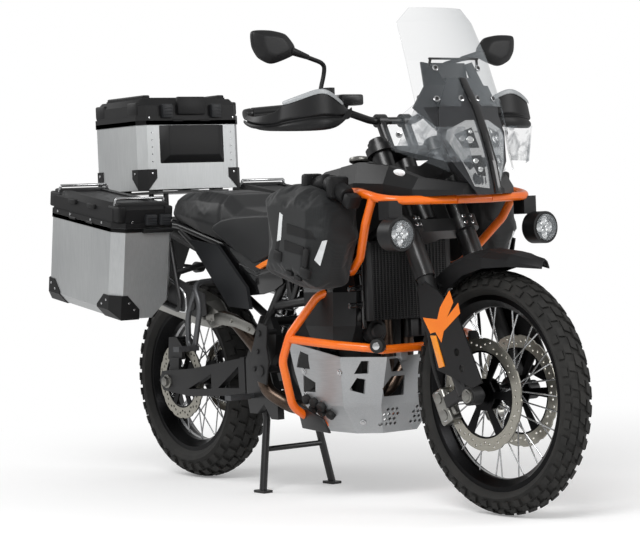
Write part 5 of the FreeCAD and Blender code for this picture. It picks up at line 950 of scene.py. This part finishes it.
# top case: lid, latches, rim, corner guards, front pad and rivets
topCase = {"place": at, "rear": -312, "front": -6, "low": -203, "high": 203, "cut": 26, "innerCut": 26}
bm = bmesh.new()
addSteppedShell(bm, casePlan(topCase, 2.5, 1206.4), [(0, 15), (4, 0), (0, 36), (20, 22), (14, 0), (0, 6)], 3)
makePiece("topCaseLid", {
    "finish": "nylonBlack", "body": "top_case_lid", "slot": "case_alloy", "replaces": "top_case_lid",
    "blocks": [((-4, 0, 1256), (18, 112, 60), 5), ((-159, -150, 1288), (235, 26, 12), 4),
               ((-159, 150, 1288), (235, 26, 12), 4)]
    + [((x, y, 1247), (60, 26, 44), 5) for x in (-262, -56) for y in (-190, 190)],
    "rods": [((-6, y - 20, 1206), (-6, y + 20, 1206), 4.6, 0, 20) for y in (-54, 54)]}, bm)
makePiece("topCaseLatches", {
    "finish": "mouldedGrey", "body": "top_case_lid", "mirrored": True,
    "blocks": [((0, -98, 1238), (16, 40, 46), 3)]
    + [((8, -98, z), (3, 34, 4), 1, 0, 1) for z in (1228, 1238, 1248)]})
guards = bmesh.new()
caseRivets = [((-4, -168.6, 1216), (-1.5, -168.6, 1216), 4, 1, 12)]
# the small rivets are laid twice in one place, which darkens their heads
caseRivets += [((-6, -158, z), (-4.8, -158, z), 2.6, 0, 10) for z in range(1070, 1190, 24)] * 2
for outer, inner, turn in ((-315, -254, -1), (-3, -64, 1)):
    planes = [((outer - turn * 13, -193, 1000), (turn, -1, 0)), ((inner, -145, 1024), (-turn, 1, 1.1)),
              ((inner, -206, 1014), (-turn, 0, -0.9)), ((outer, -145, 1014), (0, 1, -0.9))]
    low, high = (min(outer, inner), -206, 973), (max(outer, inner), -145, 1044)
    addShapes(guards, {"trimmed": [(low, high, planes, 0)]})
    caseRivets += [((outer, -164, 1030), (outer + turn * 2, -164, 1030), 4.2, 1, 12),
                   ((outer - turn * 42, -206, 1030), (outer - turn * 42, -208, 1030), 4.2, 1, 12)]
mirrorSide(guards)
addBand(guards, casePlan(topCase, 2.5, 1192), 3.5, 14)
pad = ((-8, -141, 1063), (12, 139, 1190), [((12, 100, 1125), (1, 0.62, 0)), ((12, -100, 1125), (1, -0.62, 0)),
                                           ((12, 0, 1090), (1, 0, -0.6))], 2.5)
makePiece("topCaseTrim", {"finish": "nylonBlack", "trimmed": [pad]}, guards)
makePiece("topCaseRivets", {"finish": "polishedSteel", "mirrored": True, "rods": caseRivets})

# panniers, drawn square and turned nose down like the cases, which reach lower than their solids
pannier = {"place": mm, "rear": -218, "front": 218, "low": -216, "high": 0, "cut": 34, "innerCut": 17,
           "deeper": 60, "loweredBelow": 110}
pannierFrame = Matrix.Translation(at(7.64, -256, 655)) @ Matrix.Rotation(math.radians(9), 4, "Y")
handleRuns = [[(x, -200, 300), (x, -196, 322), (x, -20, 322), (x, -16, 300)] for x in (-176, 176)]
lidParts = {
    "PannierLid": {
        "finish": "nylonBlack", "slot": "case_alloy",
        "blocks": [((x, -108, 296), (40, 190, 30), 6) for x in (-184, 184)]
        + [((x, y, 276), (70, 30, 50), 6) for x in (-184, 184) for y in (-196, -22)]
        + [((x, -214, 286), (46, 16, 16), 3) for x in (-60, 60)],
        "rods": [((x - 20, -216, 232), (x + 20, -216, 232), 4.6, 0, 20) for x in (-54, 54)]},
    "PannierLatches": {
        "finish": "mouldedGrey",
        "blocks": [((222, y, 258), (16, 40, 34), 3) for y in (-92, -40)]
        + [((230, y, z), (3, 34, 4), 1, 0, 1) for y in (-92, -40) for z in (250, 258, 266)]},
    "PannierHandles": {
        "finish": "polishedSteel",
        "rods": [(start, end, 4.8, 1, 16) for run in handleRuns for start, end in zip(run, run[1:])]},
    "PannierLidRivets": {
        "finish": "polishedSteel",
        "rods": [((x, -216, 242), (x, -220, 242), 4.2, 1, 12) for x in (-150, -70, 60, 130)]
        + [((218, y, 252), (222.5, y, 252), 4.2, 1, 12) for y in (-160, -12)]},
}
for side, sign in (("right", 1), ("left", -1)):
    mirrored = Matrix.Diagonal((1, sign, 1, 1))
    for name, look in lidParts.items():
        bm = bmesh.new()
        if name == "PannierLid":
            look["replaces"] = side + "_pannier_lid"
            addSteppedShell(bm, casePlan(pannier, 2, 232.5),
                            [(0, 16), (4, 0), (0, 42), (20, 18), (26, 0), (0, -5)], 3)
        addShapes(bm, look, mm)
        bmesh.ops.transform(bm, matrix=mirrored @ pannierFrame, verts=bm.verts)
        if sign < 0:
            bmesh.ops.reverse_faces(bm, faces=bm.faces)
        finishPiece(bm, side + name, {**look, "body": side + "_pannier_lid"})
    case = solidFrom(side + "_pannier", side + "PannierBody")
    for v in case.data.vertices:
        local = pannierFrame.inverted() @ mirrored @ v.co
        if local.z < pannier["loweredBelow"] / 1000:
            v.co = mirrored @ pannierFrame @ (local - mm(0, 0, pannier["deeper"]))
    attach(case, "chassis")
    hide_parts(side + "_pannier")


def lowered(x, y, z):
    return mm(x, y, z - pannier["deeper"])


trim = bmesh.new()
rivets = bmesh.new()
for turn in (1, -1):
    low = (min(turn * 221, turn * 120), -219, -3)
    high = (max(turn * 221, turn * 120), -120, 76)
    planes = [((turn * 206, -204, 0), (turn, -1, 0)), ((0, -203, 13), (0, -1, -1)),
              ((turn * 122, -219, 40), (-turn, 0, 1)), ((turn * 221, -150, 60), (0, 1, 1))]
    addShapes(trim, {"trimmed": [(low, high, planes, 0)]}, lowered)
    addShapes(rivets, {
        "rods": [((x * turn, -219, z), (x * turn, -221, z), 4.2, 1, 12) for x, z in ((176, 60), (150, 44))]
        + [((221 * turn, y, z), (223 * turn, y, z), 4.2, 1, 12) for y, z in ((-160, 52), (-140, 30))]},
        lowered)
addShapes(trim, {"blocks": [((222, -66, 224), (18, 112, 14), 3)]}, mm)
addBand(trim, casePlan(pannier, 2, 219), 3, 12.5)
for bm, name, finish in ((trim, "pannierTrim", "nylonBlack"), (rivets, "pannierRivets", "polishedSteel")):
    bmesh.ops.transform(bm, matrix=pannierFrame, verts=bm.verts)
    finishPiece(bm, name, {"finish": finish, "mirrored": True})
print("cases trimmed")

# skid plate: windows and rows of slots cut through the folded sheet
skid = {
    "sideWindows": [[(836, 412), (902, 408), (906, 452), (866, 462)],
                    [(846, 338), (906, 338), (916, 368), (862, 390)]],
    "frontWindows": [[(46, 400), (92, 400), (112, 440), (76, 440)],
                     [(26, 326), (100, 326), (112, 352), (88, 386), (38, 386)],
                     [(150, 398), (180, 398), (172, 436), (156, 436)],
                     [(146, 336), (182, 350), (172, 386), (152, 380)]],
    "frontX": 1185, "sideY": -240, "slotRows": 4, "slotStart": (30, 240), "slotPitch": (17, 15),
    "slotCorners": ((-6.4, 0), (0, -6), (6.4, 0), (0, 6)),
    "wallFoot": 0.44, "wallInside": 0.17, "wallRise": 0.042,
    "riseFrom": rearAxleX + 1.090, "riseLength": 0.27,
}
skidSheet = solidFrom("skid_plate", "skidSheet")
for v in skidSheet.data.vertices:  # the side walls rise towards their rear ends
    if v.co.z > skid["wallFoot"] and abs(v.co.y) > skid["wallInside"]:
        v.co.z += skid["wallRise"] * max(0, min(1, (skid["riseFrom"] - v.co.x) / skid["riseLength"]))
cutters = bmesh.new()
for window in skid["sideWindows"]:
    addPlate(cutters, [at(x, skid["sideY"], z) for x, z in window], mm(0, 480, 0))
for side in (1, -1):
    for window in skid["frontWindows"]:
        addPlate(cutters, [at(skid["frontX"], y * side, z) for y, z in window], mm(-125, 0, 0))
    for row in range(skid["slotRows"]):
        for column in range(4 - row % 2):
            y = side * (skid["slotStart"][0] + skid["slotPitch"][0] * (column + row % 2 / 2))
            z = skid["slotStart"][1] + skid["slotPitch"][1] * row
            diamond = [at(skid["frontX"], y + dy, z + dz) for dy, dz in skid["slotCorners"]]
            addPlate(cutters, diamond, mm(-160, 0, 0))
bmesh.ops.recalc_face_normals(cutters, faces=cutters.faces)
cutterMesh = bpy.data.meshes.new("cutter")
cutters.to_mesh(cutterMesh)
cutters.free()
cutter = bpy.data.objects.new("cutter", cutterMesh)
bpy.context.scene.collection.objects.link(cutter)
cutting = skidSheet.modifiers.new("windows", "BOOLEAN")
cutting.operation, cutting.solver, cutting.object = "DIFFERENCE", "EXACT", cutter
applyModifiers(skidSheet)
bpy.data.objects.remove(cutter)
bpy.data.meshes.remove(cutterMesh)
skidSheet.data.materials.clear()
skidSheet.data.materials.append(made["brushedSheet"])
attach(skidSheet, "chassis")
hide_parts("skid_plate")
print("skid plate cut:", len(skidSheet.data.polygons))

# the darker plates beside the folded sheet, and the bolts that hold the sheet
makePiece("skidWings", {"finish": "blackCoat", "mirrored": True,
                        "plates": [(-222, 10, 3, [(842, 306), (972, 264), (1004, 222), (868, 230)])]})
skidHeads = [(x, -260, z) for x, z in ((872, 402), (850, 330), (1050, 404), (1040, 250))]
makePiece("skidBolts", {
    "finish": "polishedSteel", "mirrored": True,
    "heads": [(skidSheet, place, sideways, 9.5, 4, 1, 24) for place in skidHeads]
    + [(skidSheet, place, sideways, 6, 7, 0, 6) for place in skidHeads]})

# radiator: cooling fins between two side tanks, a guard of thin bars, and a vented shroud on each side
makePiece("radiatorFins", {
    "finish": "castBlack",
    "blocks": [((1130 + (z - 552) * 0.02, 0, z), (6, 286, 1.6), 0) for z in range(558, 780, 6)]
    + [((1133, column * 12.4, 666), (5, 2.2, 224), 0) for column in range(-11, 12)]
    + [((1130, y, 668), (16, 22, 232), 4) for y in (-150, 150)]})
makePiece("radiatorShrouds", {
    "finish": "glossBlack", "mirrored": True,
    "blocks": [((1116, -188, z), (12, 52, 16), 3, 0.5) for z in (600, 650, 700)]
    + [((1118, -165, 660), (16, 10, 260), 3)]})

# horn, regulator, coolant pipes, and brake hoses from each caliper up behind the fork leg
makePiece("hornAndRegulator", {
    "finish": "castBlack",
    "rods": [((1060, -96, 520), (1094, -96, 520), 36, 4, 36),
             ((1094, -96, 520), (1102, -96, 520), 26, 2, 36, 20)],
    "blocks": [((1108, y, 522), (10, 6, 50), 1) for y in (20, 60, 100)]
    + [((1098, 60, 522), (14, 110, 56), 4)]})
bentRod("coolantPipes", {"finish": "softRubber", "radius": 13, "sides": 4,
                         "points": [(1112, -150, 580), (1096, -176, 560), (1040, -176, 500),
                                    (960, -160, 470)]})
bentRod("brakeHoses", {"finish": "softRubber", "body": "front_end", "radius": 4.5, "sides": 3, "points": [
    (1368, -85, 348), (1334, -88, 407), (1335, -98, 520), (1303, -105, 660), (1241, -105, 785)]})


# a surface through stations of points, rounded off: an open one gets a wall, a closed one is capped
def addSkin(name, stations, look):
    bm = bmesh.new()
    rows = [[bm.verts.new(p) for p in station] for station in stations]
    closed = "wall" not in look
    for first, second in zip(rows, rows[1:]):
        count = len(first)
        for i in range(count if closed else count - 1):
            bm.faces.new([first[i], second[i], second[(i + 1) % count], first[(i + 1) % count]])
    if closed:
        bm.faces.new(rows[0])
        bm.faces.new(list(reversed(rows[-1])))
    bmesh.ops.recalc_face_normals(bm, faces=bm.faces)
    if not closed:
        bmesh.ops.solidify(bm, geom=bm.faces[:], thickness=look["wall"] / 1000)
        bmesh.ops.recalc_face_normals(bm, faces=bm.faces)
    piece = finishPiece(bm, name, {"body": "front_end", "mirrored": True, "sharpDegrees": 50, **look})
    rounder = piece.modifiers.new("round", "SUBSURF")
    rounder.levels = rounder.render_levels = 2


# hand guards: a shell with a crease along its middle and a pale deflector along its peak
guardPath = [((1172, -234), 1172, 1146), ((1190, -262), 1184, 1132), ((1206, -300), 1203, 1114),
             ((1218, -352), 1228, 1107),
             ((1206, -412), 1207, 1106), ((1172, -466), 1187, 1108), ((1162, -473), 1163, 1109),
             ((1112, -493), 1157, 1112), ((1062, -493), 1156, 1124), ((1000, -468), 1166, 1142)]
shell, brow = [], []
for index, ((x, y), high, low) in enumerate(guardPath):
    before, after = guardPath[max(index - 1, 0)][0], guardPath[min(index + 1, len(guardPath) - 1)][0]
    run = Vector((after[0] - before[0], after[1] - before[1])).normalized()
    crease = low + (high - low) * 0.36
    section = [(0, high), (1, high - 3), (7, crease + 8), (8, crease + 5), (1, crease), (1, crease - 3),
               (9, crease - 8), (9, low + 8), (2, low + 1), (-3, low)]
    shell.append([at(x - run.y * d, y + run.x * d, z) for d, z in section])
    if 1 <= index <= 5:
        section = [(5, high - 9), (4, high), (3, high + 4), (0, high + 6)]
        brow.append([at(x - run.y * d, y + run.x * d, z) for d, z in section])
addSkin("handGuardShells", shell, {"finish": "mouldedBlack", "wall": 3.5, "replaces": "hand_guards"})
addSkin("guardDeflectors", brow, {"finish": "paleSmoke", "wall": 3})
makePiece("barWeights", {
    "finish": "blackCoat", "body": "front_end", "slot": "black_plastic", "mirrored": True,
    "rods": [((985, -440, 1170), (983, -462, 1166), 16.5, 3, 28),
             ((1052, -236, 1186), (1178, -246, 1160), 7, 3, 28),
             ((1060, -214, 1166), (1060, -214, 1206), 16, 3, 28),
             ((1072, -170, 1160), (1078, -158, 1200), 6, 3, 28)],
    "blocks": [((1062, -204, 1184), (36, 40, 34), 5), ((1080, -157, 1202), (46, 80, 32), 6)]})

# mirrors: rounded backs, glass set in the rear rim, stems that rise from the clamps and turn outwards
mirrorRim = [(-498, 1402), (-430, 1402), (-378, 1393), (-348, 1360), (-344, 1332), (-430, 1302), (-474, 1322),
             (-494, 1352)]
centreY = sum(y for y, z in mirrorRim) / len(mirrorRim)
centreZ = sum(z for y, z in mirrorRim) / len(mirrorRim)


# the rim scaled about its middle, with each corner doubled so that it rounds off tighter
def mirrorRing(x, share):
    ring = []
    for before, corner, after in zip(mirrorRim[-1:] + mirrorRim[:-1], mirrorRim,
                                     mirrorRim[1:] + mirrorRim[:1]):
        for other in (before, after):
            y, z = (c + (o - c) * 0.14 for c, o in zip(corner, other))
            ring.append(at(x, centreY + (y - centreY) * share, centreZ + (z - centreZ) * share))
    return ring


backRings = [(1074, 0.90), (1072, 0.97), (1073, 1.0), (1086, 1.0), (1089, 0.96), (1100, 0.62), (1101, 0.5)]
addSkin("mirrorBacks", [mirrorRing(x, share) for x, share in backRings],
        {"finish": "mouldedBlack", "replaces": "mirrors"})
makePiece("mirrorArms", {"finish": "mouldedBlack", "body": "front_end", "mirrored": True,
                         "rods": [((1088, -366, 1344), (1070, -290, 1327), 12.5, 3, 20, 7.5)]})
bm = bmesh.new()
addPlate(bm, mirrorRing(1074, 0.88), mm(-3.2, 0, 0), 0.0006)
makePiece("mirrorGlasses", {"finish": "mirrorGlass", "body": "front_end", "mirrored": True}, bm)
bentRod("mirrorStems", {"finish": "mouldedBlack", "body": "front_end", "radius": 6.6, "sides": 5, "points": [
    (1044, -240, 1196), (1045, -232, 1236), (1049, -219, 1282), (1055, -222, 1310), (1066, -272, 1322),
    (1082, -352, 1340), (1086, -380, 1348)]})
print("hand guards and mirrors made")

# front calipers: a body along the fork with a bridge and round cylinder bosses
forkLean = math.radians(-26.3)
makePiece("caliperBodies", {
    "finish": "satinSteel", "body": "front_end", "mirrored": True, "replaces": "front_calipers",
    "blocks": [((1388, -84, 309), (52, 46, 104), 9, forkLean, 3),
               ((1394, -88, 309), (66, 18, 72), 7, forkLean, 3),
               ((1414, -80, 339), (40, 20, 26), 6, forkLean, 2)],
    "rods": [((x, -100, z), (x, -111.5, z), 16.5, 3, 28) for x, z in ((1399.5, 285.7), (1376.5, 332.3))]})

# side covers, the orange stripe and the seat's flanks
makePiece("sideCovers", {"finish": "glossBlack", "mirrored": True, "plates": [
    (-154, 12, 4, [(352, 792), (440, 780), (553, 728), (660, 748), (700, 700), (706, 662), (655, 640),
                   (590, 628), (480, 622), (430, 660)]),
    (-158, 8, 3, [(470, 726), (560, 700), (668, 716), (664, 700), (560, 684), (480, 706)])]})
makePiece("sideStripes", {"finish": "orangeFilm", "mirrored": True, "plates": [
    (-166, 12, 2, [(574, 716), (600, 708), (676, 733), (676, 747), (612, 729)])]})
makePiece("seatFlanks", {"finish": "seatVinyl", "mirrored": True, "sharpDegrees": 50, "plates": [
    (-156, 26, 8, [(318, 836), (330, 850), (378, 866), (448, 874), (570, 876), (668, 874), (672, 760),
                   (610, 738), (556, 724), (500, 745), (400, 790)], 4)]})

# exhaust heat shield, silencer hanger and the plate that carries the rider's right peg
makePiece("heatShield", {
    "finish": "satinSteel",
    "plates": [(-214, 6, 2, [(350, 562), (438, 574), (505, 566), (610, 540), (632, 520), (618, 505),
                             (520, 528), (440, 534), (372, 530)])],
    "rods": [((x, -212, z), (x, -219, z), 7, 1.5, 16) for x, z in ((392, 550), (500, 548), (596, 524))]})
pegBosses = [(652, 512, 10), (640, 455, 8), (654, 395, 17), (620, 400, 8)]
makePiece("pegPlates", {
    "finish": "castBlack",
    "plates": [(-243, 6, 2, [(161, 640), (250, 682), (397, 634), (404, 566), (350, 556), (183, 600)]),
               (-214, 8, 3, [(646, 546), (694, 534), (684, 470), (694, 424), (676, 352), (606, 366),
                             (588, 425), (626, 500)])],
    "rods": [((331, -243, 596), (331, -249, 596), 16, 2, 28)]
    + [((x, -212, z), (x, -220, z), radius, 2, 28) for x, z, radius in pegBosses]
    + [((x, -212, z), (x - 20, -140, z), 9, 0, 20) for x, z in ((652, 512), (654, 395))]})

# axle nuts, and round bumpers on the front of the lower bars
makePiece("rearAxleNuts", {"finish": "satinSteel", "slot": "lamp_chrome", "mirrored": True, "rods": [
    ((0, -120, 333), (0, -158, 333), 17, 2, 6), ((0, -118, 333), (0, -147, 333), 23, 2, 32)]})
makePiece("frontAxleNuts", {
    "finish": "satinSteel", "body": "front_end", "slot": "lamp_chrome", "mirrored": True, "rods": [
        ((1528, -100, 347), (1528, -134, 347), 16, 2, 6), ((1528, -100, 347), (1528, -131, 347), 20, 2, 32)]})
tip = Vector((1198, -172, 484))
way = Vector((0.55, -0.83, 0)).normalized()
makePiece("barBumpers", {"finish": "softRubber", "mirrored": True,
                         "rods": [(tip - way * 4, tip + way * 30, 21, 5, 32)]})
makePiece("bumperCaps", {"finish": "polishedSteel", "mirrored": True,
                         "rods": [(tip + way * 29.5, tip + way * 32.5, 11, 1, 24)]})

# the braces of the pannier racks
bentRod("rackBraces", {"finish": "polishedSteel", "radius": 5, "sides": 3, "points": [
    (x, -241.5, z) for x, z in ((136, 708), (262, 652), (286, 634), (293, 590), (282, 566), (136, 611))]})

# tail lamp, indicators, fuel cap and display
makePiece("tailLamp", {"finish": "redLens", "blocks": [((-188, 0, 796), (28, 96, 30), 6, 0.3)]})
makePiece("indicatorPods", {"finish": "mouldedBlack", "mirrored": True, "rods": [
    ((-226, -60, 716), (-222, -142, 704), 6, 0, 16), ((-206, -150, 703), (-242, -150, 703), 17, 2, 28, 20)]})
makePiece("indicatorLenses", {"finish": "amberLens", "mirrored": True, "rods": [
    ((-241, -150, 703), (-249, -150, 703), 18.5, 2, 28, 14)]})
down = Vector((0, 0, -1))
makePiece("fuelCap", {"finish": "satinSteel", "heads": [
    (nodes["fuel_tank"], (930, 0, 1200), down, 40, 12, 4, 40),
    (nodes["fuel_tank"], (930, 0, 1200), down, 26, 16, 2, 32)]})
display = [(1300, -52, 1170), (1300, 52, 1170), (1300, 52, 1262), (1300, -52, 1262)]
makePiece("dashDisplay", {"finish": "displayGlass",
                          "patches": [(nodes["dash"], display, -rearward, 2.5, (6, 6))]})
print("small fittings made")
